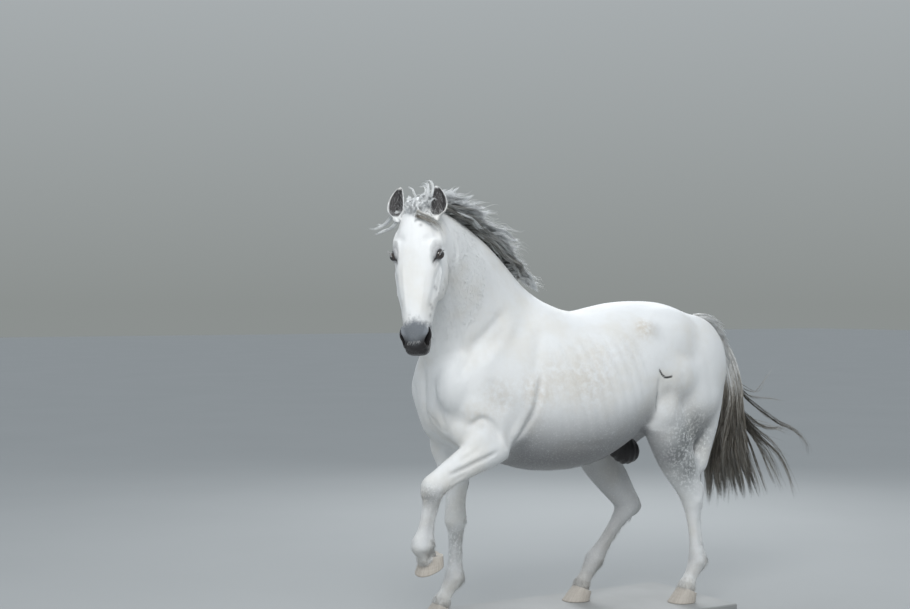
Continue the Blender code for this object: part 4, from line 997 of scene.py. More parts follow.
# Markings of the coat, with painted shade among them: the lower front of the muzzle, the undersides and the
# off hind leg.
def markings(sk):
    along, out, side = head_place(sk.co)
    on_muzzle = np.linalg.norm(sk.co - hp(0.535, -0.05), axis=1) < 0.24
    level = along - 0.012 * np.abs(side) / 0.06 + 0.012
    sk.shade("muzzle", on_muzzle * smooth(0.440, 0.560, level))
    # painted shade: the lower front of the muzzle is darkened nearly to black
    front = smooth(0.508, 0.556, along) * smooth(0.020, -0.020, out)
    sk.shade("dark", on_muzzle * front * 0.90)
    for a, n, w, radius in FACE_SPOTS:
        sk.patch("grey", hp(a, n, w), radius, 0.55)
    for mask, patches in (("stain", STAINS), ("speck", SPECKS)):
        for x, y, z, radius, amount in patches:
            sk.patch(mask, (x, y, z), radius, amount)
    x, y, z = sk.co.T
    # painted shade: grey on the faces that look down, from the chest back, which also stands for the darker
    # skin of the belly, and grey over the off hind leg and the off side of the low belly behind it
    below = smooth(0.05, -0.80, sk.no[:, 2]) * smooth(0.58, 0.72, z) * smooth(1.12, 0.92, z)
    below = below * smooth(-0.54, -0.36, x)
    inner = smooth(0.02, 0.16, y) * smooth(0.82, 0.60, z) * smooth(0.0, 0.2, x)
    sk.shade("grey", np.maximum(below * 0.92, inner * 0.50))
    sk.shade("dirt", smooth(0.42, 0.12, z) * 0.35)
    for at in ((-0.86, -0.19, 0.57), (-0.88, -0.185, 0.49), (-0.89, -0.18, 0.42)):
        sk.patch("grey", at, 0.075, 0.30)


# ---------------------------------------------------------------- the skin
def union(ob, tool):
    """Join a closed mesh to another for good."""
    m = ob.modifiers.new("join", "BOOLEAN")
    m.operation = "UNION"
    m.solver = "EXACT"
    m.object = tool
    bake(ob)
    bpy.data.objects.remove(tool)


def face_and_jaw(p):
    """Points of the head in front of the poll, apart from the ears."""
    return (np.linalg.norm(p - hp(0.30, -0.09), axis=1) < 0.40) & (head_place(p)[0] > -0.01) & ~in_ear(p)


def eyes_and_muzzle(p):
    """Points round the eyes and over the muzzle, where the skin is finest."""
    found = np.linalg.norm(p - hp(0.568, -0.06), axis=1) < 0.112
    for s in (-1, 1):
        found |= np.linalg.norm(p - eye_frame(s)[0], axis=1) < 0.056
    return found & ~in_ear(p)


def in_ear(p):
    """Points of either ear, above its root."""
    found = np.zeros(len(p), bool)
    for s in (-1, 1):
        a, w, f = ear_space(p, s)
        found |= (a > 0.022) & (a < 0.16) & (np.abs(w) < 0.05) & (np.abs(f) < 0.05)
    return found


def soften_ear_roots(ob):
    """Round off the crease where an ear meets the head."""
    co = coords(ob.data)
    rounds = np.zeros(len(co))
    for s in (-1, 1):
        a, w, f = ear_space(co, s)
        rounds = np.maximum(rounds, 7 * np.exp(-((a - 0.006) / 0.014) ** 2) * (np.hypot(w, f) < 0.06))
    put(ob.data, relax(co, edges(ob.data), rounds))


def grow_skin():
    """The mesh of the skin: the body, filled and smoothed, a coat's depth inside the solids, and the ears."""
    bm = bmesh.new()
    body(bm)
    ob = link("skin", bm)
    m = ob.modifiers.new("fill", "REMESH")
    m.mode = "VOXEL"
    m.voxel_size = VOXEL
    bake(ob)
    co = coords(ob.data)
    put(ob.data, relax(co, edges(ob.data), body_rounds(co)))
    put(ob.data, coords(ob.data) - normals(ob.data) * COAT)
    for s in (-1, 1):
        bm = bmesh.new()
        leaf_ear(bm, s)
        union(ob, link("leaf", bm))
    refine(ob, face_and_jaw)
    refine(ob, eyes_and_muzzle)
    soften_ear_roots(ob)
    return ob


def shade_ear(sk, s):
    """Darken the bare skin in the cup of the ear."""
    a, w, f = ear_space(sk.co, s)
    q = np.clip(a / EAR_LEN, 0, 1)
    across = np.abs(w - s * ear_bow(q)) / ear_half(q)
    hollow = smooth(0.004, 0.024, a) * smooth(0.92, 0.72, across) * smooth(0.97, 0.88, q)
    facing = sk.no @ ear_frame(s)[2]
    in_cup = hollow * smooth(-0.15, 0.30, facing) * (np.hypot(w, f) < 0.06)
    sk.shade("grey", in_cup)
    sk.shade("dark", in_cup * 0.92)


def make_skin():
    sk = Skin(grow_skin())
    head_folds(sk)
    body_folds(sk)
    leg_folds(sk)
    sheath_folds(sk)
    markings(sk)
    sk.settle()
    for s in (-1, 1):
        eyelids(sk, s)
        nostril(sk, s)
        shade_ear(sk, s)
    put(sk.ob.data, sk.co)
    sk.no = normals(sk.ob.data)
    return sk


# ---------------------------------------------------------------- strands
PATCH = 0.003          # side of each strand's place on its OFBake map
CHARTS = ("head", "neck", "trunk", "fore_left", "fore_right", "hind_left", "hind_right", "ear_left",
          "ear_right", "crest", "forelock", "dock")
SIDES = 3              # flat sides of a strand


def leg_chart(p, name, leg):
    """Which points lie on a leg, and their places: round it and down it."""
    fore = name.startswith("fore")
    s = -1 if name.endswith("left") else 1
    top = joints_of(leg, "elbow" if fore else "stifle")[0]
    mine = (p[:, 2] < 0.84) & (np.sign(p[:, 1]) == s) & (np.linalg.norm(p - top, axis=1) < 0.95)
    mine &= (p[:, 0] < -0.2) if fore else (p[:, 0] > 0.0)
    joints = joints_of(leg, *leg)
    far = np.full(len(p), 1e9)
    turn, place = np.zeros(len(p)), np.zeros(len(p))
    for i, (a, b) in enumerate(zip(joints, joints[1:])):
        t = np.clip((p - a) @ (b - a) / ((b - a) @ (b - a)), 0, 1)
        q = p - a - t[:, None] * (b - a)
        d = np.linalg.norm(q, axis=1)
        nearer = d < far
        turn = np.where(nearer, np.arctan2(q[:, 1], -q[:, 0]), turn)
        place = np.where(nearer, (i + t) / (len(joints) - 1), place)
        far = np.minimum(far, d)
    return mine & (far < 0.16), turn, place


def neck_chart(p):
    rows = np.array(NECK)
    base, tip = (rows[0, :3] + rows[0, 3:6]) / 2, (rows[-1, :3] + rows[-1, 3:6]) / 2
    t = (p - base) @ (tip - base) / ((tip - base) @ (tip - base))
    q = p - base - t[:, None] * (tip - base)
    return (p[:, 0] < -0.35) & (p[:, 2] > 1.20) & (t > 0.12), np.arctan2(q @ H_1, q[:, 2]), t


def head_chart(p):
    q = p - hp(0, -0.06)
    a, n, w = q @ H_A, q @ H_N, q @ H_L
    mine = (a > -0.06) & (a < 0.68) & (np.hypot(n, w) < 0.26) & (p[:, 0] < -0.84)
    return mine, np.arctan2(w, n), (a + 0.06) / 0.74


def ear_chart(p, s):
    a, w, f = ear_space(p, s)
    mine = (a > 0.02) & (a < 0.16) & (np.abs(w) < 0.05) & (np.abs(f) < 0.05)
    return mine, np.arctan2(w, f), a / 0.16


def chart_of(p):
    """Each root's place on an unwrap of the skin: a chart for each body part, unrolled round its own axis."""
    which = np.full(len(p), CHARTS.index("trunk"))
    u = np.arctan2(p[:, 1], p[:, 2] - 1.05)
    v = (p[:, 0] + 0.85) / 1.75
    found = {name: leg_chart(p, name, leg) for name, leg in LEGS.items()}
    found["neck"] = neck_chart(p)
    found["head"] = head_chart(p)
    found["ear_left"] = ear_chart(p, 1)
    found["ear_right"] = ear_chart(p, -1)
    for name, (mine, turn, place) in found.items():
        which[mine] = CHARTS.index(name)
        u = np.where(mine, turn, u)
        v = np.where(mine, place, v)
    return which, np.clip(u / (2 * math.pi) + 0.5, 0, 1), np.clip(v, 0, 1)


def tile(which, u, v):
    """Place of (u, v) in a chart's tile of a four by three sheet."""
    col, row = which % 4, which // 4
    margin = 0.04
    inner = 1 - 2 * margin
    return np.stack(((col + margin + inner * u) / 4, (row + margin + inner * v) / 3), -1)


def in_chart(name, u, v):
    return tile(np.full(len(u), CHARTS.index(name)), np.clip(u, 0, 1), np.clip(v, 0, 1))


def spread_out(uv):
    """Stretch a piece's places over the whole map where they fill only part of it."""
    low, high = uv.min(0), uv.max(0)
    size = high - low
    fit = 0.03 + (uv - low) / np.maximum(size, 1e-6) * 0.94
    return np.where(size < 0.75, fit, uv)


def strand_points(paths, width):
    """A ring of points round every point of each path but the last, and then the last itself."""
    tan = units(np.gradient(paths, axis=1))
    ref = np.where(np.abs(tan[:, :1, 2:]) > 0.8, np.array((1.0, 0, 0)), UP)
    a = units(np.cross(tan, ref))
    b = np.cross(tan, a)
    turn = 2 * math.pi * np.arange(SIDES) / SIDES
    reach = width[:, :, None, None] / 2
    ring = (paths[:, :, None] + a[:, :, None] * (np.cos(turn)[:, None] * reach)
            + b[:, :, None] * (np.sin(turn)[:, None] * reach))
    return np.concatenate((ring[:, :-1].reshape(len(paths), -1, 3), paths[:, -1:]), axis=1).reshape(-1, 3)


def strand_faces(n, k):
    """Corners of the faces of n strands of k points: the walls, the tips and the caps at the roots."""
    start = np.arange(n)[:, None, None] * ((k - 1) * SIDES + 1)
    low = start + np.arange(k - 2)[None, :, None] * SIDES
    last = start + (k - 2) * SIDES
    j = np.arange(SIDES)
    j2 = (j + 1) % SIDES
    walls = np.stack((low + j, low + j2, low + SIDES + j2, low + SIDES + j), -1)
    tips = np.stack((last + j, last + j2, last + SIDES + 0 * j), -1)
    caps = start[:, 0] + j[::-1]
    return walls, tips, caps


def strand_patches(uv, k):
    """Places of the same corners on the OFBake map, where each strand has a small patch of its own."""
    j = np.arange(SIDES)[:, None]
    step = 1 / (k - 1)
    down = np.arange(k - 2)[:, None, None] / (k - 1)
    walls = np.zeros((k - 2, SIDES, 4, 2))
    walls[..., 0] = (j + (0, 1, 1, 0)) / SIDES
    walls[..., 1] = down + (0, 0, step, step)
    tips = np.zeros((1, SIDES, 3, 2))
    tips[..., 0] = (j + (0, 1, 0.5)) / SIDES
    tips[..., 1] = (1 - step, 1 - step, 1.0)
    turn = 2 * math.pi * np.arange(SIDES) / SIDES
    caps = np.stack((np.cos(turn), np.sin(turn)), -1) * PATCH * 0.2
    parts = [uv[:, None, None, None] + (corners - 0.5) * PATCH for corners in (walls, tips)]
    parts.append(uv[:, None] + caps)
    return np.concatenate([part.reshape(-1, 2) for part in parts])


def strands(name, paths, width, uv, shades):
    """Solid strands as one mesh, closed at the root and drawn to a point at the tip. paths is strands x
    points x 3, width strands x points, uv each strand's place on the map, shades what its material reads."""
    n, k, _ = paths.shape
    points = strand_points(paths, width)
    walls, tips, caps = strand_faces(n, k)
    corners = np.concatenate((walls.ravel(), tips.ravel(), caps.ravel()))
    wall_starts = np.arange(walls.size // 4) * 4
    end_starts = walls.size + np.arange(n * (SIDES + 1)) * 3
    starts = np.concatenate((wall_starts, end_starts))
    me = bpy.data.meshes.new(name)
    me.vertices.add(len(points))
    me.vertices.foreach_set("co", points.astype(np.float32).ravel())
    me.loops.add(len(corners))
    me.loops.foreach_set("vertex_index", corners.astype(np.int32))
    me.polygons.add(len(starts))
    me.polygons.foreach_set("loop_start", starts.astype(np.int32))
    layer = me.uv_layers.new(name="OFBake")
    layer.uv.foreach_set("vector", strand_patches(spread_out(uv), k).astype(np.float32).ravel())
    shade_smooth(me)
    me.update(calc_edges=True)
    me.validate()
    along = np.broadcast_to(np.linspace(0, 1, k), (n, k))
    for key, values in {**shades, "along": along}.items():
        values = np.asarray(values, np.float32)
        if values.ndim == 1:
            values = np.repeat(values[:, None], k, 1)
        tag(me, key, np.concatenate((np.repeat(values[:, :-1], SIDES, axis=1), values[:, -1:]), axis=1))
    return add(name, me)


# ---------------------------------------------------------------- locks of hair
GUIDE = 32             # points of the line that a lock follows


def resample(path, k):
    """k evenly spaced points along a smooth line through the path."""
    pts = spline(path, 10)
    run = np.concatenate(((0,), np.cumsum(np.linalg.norm(np.diff(pts, axis=0), axis=1))))
    at = np.linspace(0, run[-1], k)
    return np.stack([np.interp(at, run, pts[:, i]) for i in range(3)], -1)


def taper(n, k, root, tip, swell=0.0):
    """Widths of n strands at k points, from the root to the tip."""
    t = np.linspace(0, 1, k)
    shape = root * (1 - t) + tip * t + swell * np.sin(math.pi * np.minimum(1, t * 1.4)) * (1 - t)
    return np.broadcast_to(shape, (n, k))


def fill_lock(rng, path, count, k, spread, gather, wave, side, shorter=0.25, flat=0.6, curl=0.0):
    """Strands of one lock round its path: spread at the root, gathered to the tip, each with its own wave.
    curl is the wave that the whole lock shares."""
    guide = resample(path, GUIDE)
    side = np.asarray(side, float)
    tan = units(np.gradient(guide, axis=0))
    a = units(side - tan * (tan @ side)[:, None])
    b = np.cross(tan, a)
    if curl:
        s = np.linspace(0, 1, GUIDE)[:, None]
        turns, start = rng.uniform(1.3, 2.6), rng.uniform(0, 2 * math.pi)
        guide = guide + b * curl * np.sqrt(s) * np.sin(2 * math.pi * turns * s + start)
        guide = guide + a * curl * 0.7 * s * np.sin(2 * math.pi * turns * 0.8 * s + start * 2)
    r = np.sqrt(rng.random(count)) * spread
    ang = rng.random(count) * 2 * math.pi
    across, over = r * np.cos(ang), r * np.sin(ang) * flat
    end = 1 - shorter * rng.random(count) ** 1.5
    t = np.linspace(0, 1, k)[None] * end[:, None]
    at = t * (GUIDE - 1)
    i = np.minimum(at.astype(int), GUIDE - 2)
    f = (at - i)[..., None]
    close = 1 - gather * t ** 1.2
    phase = rng.random((count, 1)) * 2 * math.pi
    freq = (1.2 + rng.random((count, 1))) * 2 * math.pi
    across = across[:, None] * close + wave * t * np.sin(freq * t + phase)
    over = over[:, None] * close + wave * t * np.cos(freq * 0.8 * t + phase * 1.7)

    def mix(rows):
        return rows[i] * (1 - f) + rows[i + 1] * f

    return mix(guide) + mix(a) * across[..., None] + mix(b) * over[..., None]


def hair_piece(name, locks, k, root, tip, rng, swell=0.0):
    """Join locks to one piece. A lock is its strands, their places on the map and their tones."""
    paths, uv, tone = (np.concatenate(part) for part in zip(*locks))
    n = len(paths)
    width = taper(n, k, root, tip, swell) * (0.6 + 0.8 * rng.random((n, 1)))
    return strands(name, paths, width, uv, {"tone": tone, "rand": rng.random(n)})


# ---------------------------------------------------------------- mane and forelock
MANE_FALL = (       # place of a root along the crest, its tip, and the place along the crest under the tip
    (0.00, -0.839, -0.330, 1.917, 0.27), (0.07, -0.791, -0.310, 1.899, 0.32),
    (0.13, -0.713, -0.280, 1.909, 0.40), (0.19, -0.658, -0.250, 1.875, 0.46),
    (0.25, -0.570, -0.220, 1.862, 0.57), (0.32, -0.515, -0.177, 1.798, 0.64),
    (0.41, -0.416, -0.149, 1.762, 0.78), (0.48, -0.362, -0.121, 1.720, 0.86),
    (0.57, -0.340, -0.086, 1.657, 0.90), (0.69, -0.263, -0.048, 1.577, 0.97),
    (0.77, -0.209, -0.031, 1.508, 1.00), (0.90, -0.175, -0.010, 1.480, 1.00),
)
# the low layer's darker tone is partly painted shade by the crest, and the top layer's paler tone partly
# painted light
MANE_LAYERS = {     # locks, hairs in each, how far it stands toward the outline, shift to the near side, tone
    "low": (34, 62, (-0.08, 0.42), (0.028, 0.054), 0.42),
    "mid": (36, 62, (0.40, 0.85), (0.000, 0.030), 0.62),
    "top": (40, 54, (0.80, 1.06), (-0.026, 0.012), 0.80),
}


def mane_fall(t):
    """The tip of a lock rooted at t, and the point of the crest below it."""
    places, *rows = np.array(MANE_FALL).T
    x, y, z, foot = (np.interp(t, places, row) for row in rows)
    return np.array((x, y, z)), crest(foot)


def crest_uv(t, n, rng):
    return in_chart("crest", t + rng.normal(0, 0.010, n), 0.5 + rng.normal(0, 0.06, n))


def mane_lock(rng, each, stand, sides, tone):
    """One wavy lock that leaves the crest and streams back over it."""
    t = rng.uniform(0.0, 0.93)
    side, up = crest_frame(t)
    near = -side if side[1] > 0 else side
    tip, foot = mane_fall(min(0.9, max(0, t + rng.normal(0, 0.025))))
    rise = rng.uniform(*stand)
    shift = near * rng.uniform(*sides)
    root = crest(t) - up * 0.008 + side * rng.normal(0, 0.007)
    end = foot + (tip - foot) * rise + shift
    end = root + (end - root) * rng.uniform(0.72, 1.04)
    bow = up * (0.010 + 0.016 * rise) + near * 0.010
    path = [root + (end - root) * f + shift * g + bow * h for f, g, h in
            ((0.0, 0.0, 0.0), (0.12, 0.35, 0.8), (0.38, 0.4, 1.0), (0.70, 0.2, 0.6))]
    path.append(end + up * rng.normal(0.004, 0.010) * (1 + rise))
    n = int(each * rng.uniform(0.6, 1.3))
    hairs = fill_lock(rng, path, n, 10, rng.uniform(0.008, 0.014), 0.70, 0.004, side, 0.30, 0.7, 0.007)
    level = tone + rng.normal(0, 0.22) + rng.normal(0, 0.07, n)
    return hairs, crest_uv(t, n, rng), np.clip(level, 0.05, 1)


def loose_lock(rng):
    """A few loose hairs at the outline of the mane."""
    t = rng.uniform(0.0, 0.92)
    side, up = crest_frame(t)
    tip, foot = mane_fall(t)
    root = crest(t)
    way = (foot + (tip - foot) * rng.uniform(0.7, 1.0) - root) * rng.uniform(0.8, 1.05)
    end = root + way
    off = side * rng.normal(0, 0.02)
    path = (root - up * 0.005, root + (end - root) * 0.25 + up * 0.02 + off,
            root + (end - root) * 0.65 + up * 0.018 + off, end + up * abs(rng.normal(0.0, 0.014)) + off * 1.4)
    hairs = fill_lock(rng, path, 4, 9, 0.006, -0.5, 0.006, side, 0.3, 0.6, 0.008)
    return hairs, crest_uv(t, 4, rng), np.full(4, rng.uniform(0.7, 1.0))


def make_mane(rng):
    made = []
    for layer, (count, *look) in MANE_LAYERS.items():
        locks = [mane_lock(rng, *look) for _ in range(count)]
        made.append(hair_piece("mane_" + layer, locks, 10, 0.0030, 0.0006, rng, swell=0.0010))
    locks = [loose_lock(rng) for _ in range(250)]
    made.append(hair_piece("mane_loose", locks, 9, 0.0016, 0.0005, rng))
    return made


FORELOCK = (        # locks, hairs in each, tone, jitter, points in the head's axes (along, out, left)
    (10, 26, 1.00, 0.007, (-0.005, 0.034, 0.028), (0.004, 0.040, 0.025), (0.018, 0.0440, 0.023),
     (0.034, 0.046, 0.021)),
    (10, 26, 1.00, 0.007, (-0.005, 0.034, -0.025), (0.006, 0.040, -0.024), (0.020, 0.044, -0.022),
     (0.036, 0.046, -0.020)),
    (10, 26, 0.97, 0.014, (-0.012, 0.030, 0.000), (0.002, 0.040, 0.000), (0.022, 0.046, -0.002),
     (0.046, 0.047, -0.002)),
    (6, 22, 1.00, 0.010, (-0.010, 0.026, 0.030), (-0.030, 0.032, 0.040), (-0.040, 0.026, 0.052),
     (-0.036, 0.012, 0.064)),
    (5, 20, 1.00, 0.007, (-0.010, 0.026, -0.016), (-0.024, 0.032, -0.016), (-0.028, 0.024, -0.024),
     (-0.022, 0.010, -0.034)),
    (5, 26, 1.00, 0.005, (-0.016, 0.026, 0.046), (-0.052, 0.034, 0.058), (-0.084, 0.030, 0.052),
     (-0.085, 0.026, 0.020)),
    (1, 8, 0.95, 0.004, (-0.020, 0.028, 0.000), (-0.038, 0.032, -0.006), (-0.054, 0.030, -0.016),
     (-0.064, 0.026, -0.034)),
    (3, 18, 0.98, 0.003, (0.018, -0.016, -0.078), (0.036, -0.024, -0.107), (0.066, -0.040, -0.152),
     (0.071, -0.056, -0.204)),
    (2, 18, 0.98, 0.003, (0.040, -0.018, -0.080), (0.070, -0.030, -0.108), (0.082, -0.044, -0.145),
     (0.090, -0.056, -0.188)),
    (1, 14, 0.98, 0.003, (0.055, -0.022, -0.082), (0.083, -0.034, -0.109), (0.092, -0.046, -0.140),
     (0.096, -0.056, -0.176)),
)
TEMPLE_LOCK = (     # the hair that parts to the near side under the ear
    (3, 16, 0.86, 0.004, (0.040, 0.047, 0.008), (0.052, 0.048, 0.040), (0.070, 0.028, 0.078),
     (0.098, -0.025, 0.112)),
    # the second lock, darker, is painted shade along the edge of the first
    (3, 12, 0.58, 0.004, (0.054, 0.048, 0.010), (0.064, 0.048, 0.040), (0.080, 0.034, 0.072),
     (0.110, -0.015, 0.106)),
)


def head_lock(rng, each, light, loose, root, *way):
    """One lock of the forelock, from its root through the points of its way."""
    shift = rng.normal(0, loose, 3)
    grow = 1 + rng.normal(0, 0.08)
    first = hp(*root) + shift
    path = [first] + [first + (hp(*q) - hp(*root)) * grow + rng.normal(0, 0.3 * loose, 3) for q in way]
    n = int(each * rng.uniform(0.7, 1.2))
    hairs = fill_lock(rng, path, n, 9, 0.007, 0.50, 0.003, H_L, 0.4, 0.5, 0.003)
    uv = in_chart("forelock", 0.5 + rng.normal(0, 0.16, n), 0.5 + rng.normal(0, 0.16, n))
    return hairs, uv, np.clip(light + rng.normal(0, 0.08) + rng.normal(0, 0.05, n), 0, 1)


def make_forelock(rng):
    """White hair between the ears that streams to both sides, and the lock over the near temple."""
    made = []
    for name, rows in (("forelock_white", FORELOCK), ("forelock_side", TEMPLE_LOCK)):
        locks = [head_lock(rng, *look) for count, *look in rows for _ in range(count)]
        made.append(hair_piece(name, locks, 9, 0.0020, 0.0005, rng))
    return made


# ---------------------------------------------------------------- tail
TAIL_EDGES = (      # height, fore edge and rear edge of the body of the tail
    (1.360, 0.850, 0.895), (1.310, 0.875, 0.925), (1.200, 0.905, 0.960), (1.150, 0.915, 0.977),
    (1.080, 0.925, 1.006), (0.950, 0.930, 1.020), (0.880, 0.905, 1.006), (0.770, 0.855, 1.018),
    (0.640, 0.806, 1.062), (0.550, 0.806, 1.112), (0.420, 0.800, 1.150),
)
TAIL_LAYERS = {     # locks, where on the dock they grow, reach to the sides, tone
    "inner": (42, (0.55, 0.98), 0.5, 0.08),
    "middle": (46, (0.35, 0.95), 0.8, 0.13),
    "outer": (58, (0.12, 0.80), 1.0, 0.20),
}
TAIL_WISPS = (      # hairs in each, points (x, height) of a thin lock that streams away behind
    (7, (0.977, 1.078), (1.079, 0.998), (1.147, 0.957), (1.26, 0.940), (1.40, 0.925)),
    (5, (0.977, 1.078), (1.079, 1.011), (1.165, 0.976), (1.205, 1.005), (1.26, 1.075), (1.310, 1.115)),
    (20, (1.00, 1.050), (1.079, 0.972), (1.182, 0.897), (1.304, 0.826), (1.420, 0.788), (1.505, 0.708),
     (1.525, 0.63)),
    (18, (1.00, 0.990), (1.061, 0.890), (1.182, 0.815), (1.286, 0.794), (1.357, 0.797), (1.428, 0.781)),
    (34, (1.00, 0.980), (1.079, 0.868), (1.200, 0.745), (1.304, 0.674), (1.375, 0.578), (1.428, 0.488),
     (1.446, 0.42)),
    (34, (0.99, 0.960), (1.061, 0.856), (1.165, 0.740), (1.234, 0.645), (1.278, 0.563), (1.331, 0.460)),
    (30, (0.98, 0.950), (1.045, 0.856), (1.113, 0.736), (1.182, 0.621), (1.225, 0.520), (1.250, 0.440)),
    (26, (0.98, 0.930), (1.030, 0.820), (1.090, 0.700), (1.140, 0.600), (1.180, 0.500), (1.200, 0.430)),
)


def dock_uv(t, n, rng):
    return in_chart("dock", rng.random(n), t + rng.normal(0, 0.02, n))


def tail_x(z, across):
    """Where a hair lies between the tail's fore edge, 0, and its rear edge, 1."""
    high, fore, rear = np.array(TAIL_EDGES)[::-1].T
    a, b = np.interp(z, high, fore), np.interp(z, high, rear)
    return a + (b - a) * across


def tail_lock(rng, layer):
    """One lock of the body of the tail: root on the dock, then down between the two edges."""
    _, high, depth, tone = TAIL_LAYERS[layer]
    outer = layer == "outer"
    t = rng.uniform(*high)
    across = 1 - 0.75 * rng.random() ** 1.4 if outer else rng.uniform(0, 1)
    ang = rng.uniform(0, 2 * math.pi)
    spread = math.sin(ang) * depth * 0.075
    p = dock_at(t)
    low = rng.uniform(0.41, 0.60) + (0.10 * rng.random() if outer else 0)
    path = [p + (-0.008, spread * 0.1, 0)]
    for f in (0.08, 0.22, 0.42, 0.62, 0.82, 1.0):
        z = p[2] - (p[2] - low) * f
        x = tail_x(z, across)
        if f < 0.1:
            x = p[0] * 0.5 + x * 0.5 + 0.006
        path.append((x, 0.012 + spread * min(1, 0.35 + f), z))
    n = rng.integers(30, 62)
    hairs = fill_lock(rng, path, n, 10, rng.uniform(0.009, 0.018), 0.72, 0.006, ACROSS, 0.30, 0.8, 0.009)
    tone = tone + abs(rng.normal(0, 0.11)) + rng.normal(0, 0.04, n)
    white = 0.78 * smooth(0.84, 1.14, hairs[..., 2])                             # near the root of the tail
    return hairs, dock_uv(t, n, rng), np.clip(tone[:, None] + white, 0, 1)


def wisp_lock(rng, way, n, loose):
    """One thin lock behind the tail, from the dock through the points of its way."""
    y0 = rng.normal(0.014, 0.012)
    y1 = rng.normal(0.020, loose)
    points = np.vstack((((0.935, 1.10), (0.955, 1.07)), way))
    t = np.linspace(0, 1, len(points))
    path = np.stack((points[:, 0], y0 + (y1 - y0) * t, points[:, 1]), -1)
    path[3:, 2] += rng.normal(0, loose * 0.5, len(path) - 3) * t[3:]
    hairs = fill_lock(rng, path, n, 14, 0.006, 0.60, 0.005, ACROSS, 0.30, 0.8, 0.007)
    tone = rng.uniform(0.18, 0.42) + rng.normal(0, 0.05, n)
    white = smooth(1.10, 1.00, hairs[..., 0]) * 0.78 * smooth(0.84, 1.14, hairs[..., 2])
    return hairs, dock_uv(0.9, n, rng), np.clip(tone[:, None] + white, 0, 1)


def between_wisps(rng):
    """A finer lock on a way between two neighbouring wisps."""
    i = rng.integers(2, len(TAIL_WISPS) - 1)
    one, two = (resample([(x, 0.0, z) for x, z in TAIL_WISPS[j][1:]], 6)[:, (0, 2)] for j in (i, i + 1))
    f = rng.random()
    return wisp_lock(rng, one * (1 - f) + two * f, rng.integers(3, 8), 0.018)


def bristle_lock(rng):
    """White bristles that lie over the root of the tail."""
    t = rng.uniform(0.10, 0.66)
    ang = rng.uniform(-2.2, 2.2)
    way = unit(dock_at(t + 0.06) - dock_at(t))
    out = unit(np.array((0.0, math.sin(ang), 0.0)) + math.cos(ang) * np.cross(way, (0.0, -1.0, 0.0)))
    skin = dock_at(t) + out * (0.036 - 0.010 * t)
    length = rng.uniform(0.050, 0.115)
    path = (skin - out * 0.014, skin + out * 0.010 + way * length * 0.35,
            skin + out * 0.022 + way * length * 0.75 - UP * 0.004,
            skin + out * (0.024 + 0.018 * rng.random()) + way * length * 1.25 - UP * 0.016)
    n = rng.integers(7, 13)
    hairs = fill_lock(rng, path, n, 6, 0.009, 0.2, 0.003, ACROSS, 0.5)
    return hairs, dock_uv(t, n, rng), np.clip(1.0 - 0.20 * t + rng.normal(0, 0.05, n), 0, 1)


def make_tail(rng):
    made = []
    for layer, row in TAIL_LAYERS.items():
        locks = [tail_lock(rng, layer) for _ in range(row[0])]
        made.append(hair_piece("tail_" + layer, locks, 10, 0.0032, 0.0007, rng, swell=0.0012))
    locks = []
    for n, *way in TAIL_WISPS:
        locks += [wisp_lock(rng, way, n, 0.010), wisp_lock(rng, way, max(3, n // 2), 0.022)]
    locks += [between_wisps(rng) for _ in range(26)]
    made.append(hair_piece("tail_wisps", locks, 14, 0.0022, 0.0006, rng))
    locks = [bristle_lock(rng) for _ in range(300)]
    made.append(hair_piece("tail_head", locks, 6, 0.0024, 0.0008, rng))
    return made


# ---------------------------------------------------------------- the short coat
def on_head(p):
    return np.linalg.norm(p - hp(0.3, -0.07), axis=1) < 0.42


def lie(p):
    """Which way the coat lies: down the face, back along the neck and trunk, down the legs."""
    x, z = p[:, 0], p[:, 2]
    low = smooth(0.95, 0.70, z)[:, None]
    d = np.array((0.85, 0, -0.45)) * (1 - low) + np.array((0.12, 0, -1.0)) * low
    fwd = smooth(-0.45, -0.70, x)[:, None] * smooth(1.15, 1.35, z)[:, None]
    d = d * (1 - fwd) + np.array((0.55, 0.25, -0.75)) * fwd
    a, _, left = head_place(p)
    face = H_A * 0.9 - H_N * 0.35 + np.sign(left)[:, None] * H_L * 0.15
    return np.where(((a > -0.04) & on_head(p))[:, None], face, d)


def along_skin(way, normal):
    """The directions of way with what points out of the skin taken out."""
    return units(way - normal * (way * normal).sum(1, keepdims=True))


def scatter(sk, count, rng, weight):
    """Random roots over the skin, thicker where weight is high: their places, normals and markings."""
    me = sk.ob.data
    me.calc_loop_triangles()
    tri = read(me.loop_triangles, "vertices", 3, int)
    co = sk.co[tri]
    area = np.linalg.norm(np.cross(co[:, 1] - co[:, 0], co[:, 2] - co[:, 0]), axis=1) / 2
    share = area * weight[tri].mean(1)
    pick = rng.choice(len(tri), count, p=share / share.sum())
    r1, r2 = np.sqrt(rng.random(count)), rng.random(count)
    w = np.stack((1 - r1, r1 * (1 - r2), r1 * r2), -1)

    def mix(values):
        return np.einsum("ij,ij...->i...", w, values[tri[pick]])

    return mix(sk.co), units(mix(sk.no)), {k: mix(m) for k, m in sk.masks.items()}


def tufts(name, sk, count, rng, weight, length, width, stand, k=2):
    """Short tufts that lie along the skin, each a thin solid spike; length is a function of their places."""
    p, n, shades = scatter(sk, count, rng, weight)
    d = along_skin(lie(p) + rng.normal(0, 0.175, p.shape), n)
    size = length(p) * rng.uniform(0.6, 1.3, len(p))
    t = np.linspace(0, 1, k)
    rise = stand * (t * (1.6 - 0.6 * t))
    paths = (p - n * 0.0008)[:, None] + d[:, None] * (size[:, None] * t)[..., None]
    paths = paths + n[:, None] * (size[:, None] * rise)[..., None]
    w = taper(len(p), k, width, width * 0.2) * rng.uniform(0.7, 1.3, (len(p), 1))
    shades["rand"] = rng.random(len(p))
    return strands(name, paths, w, tile(*chart_of(p)), shades)


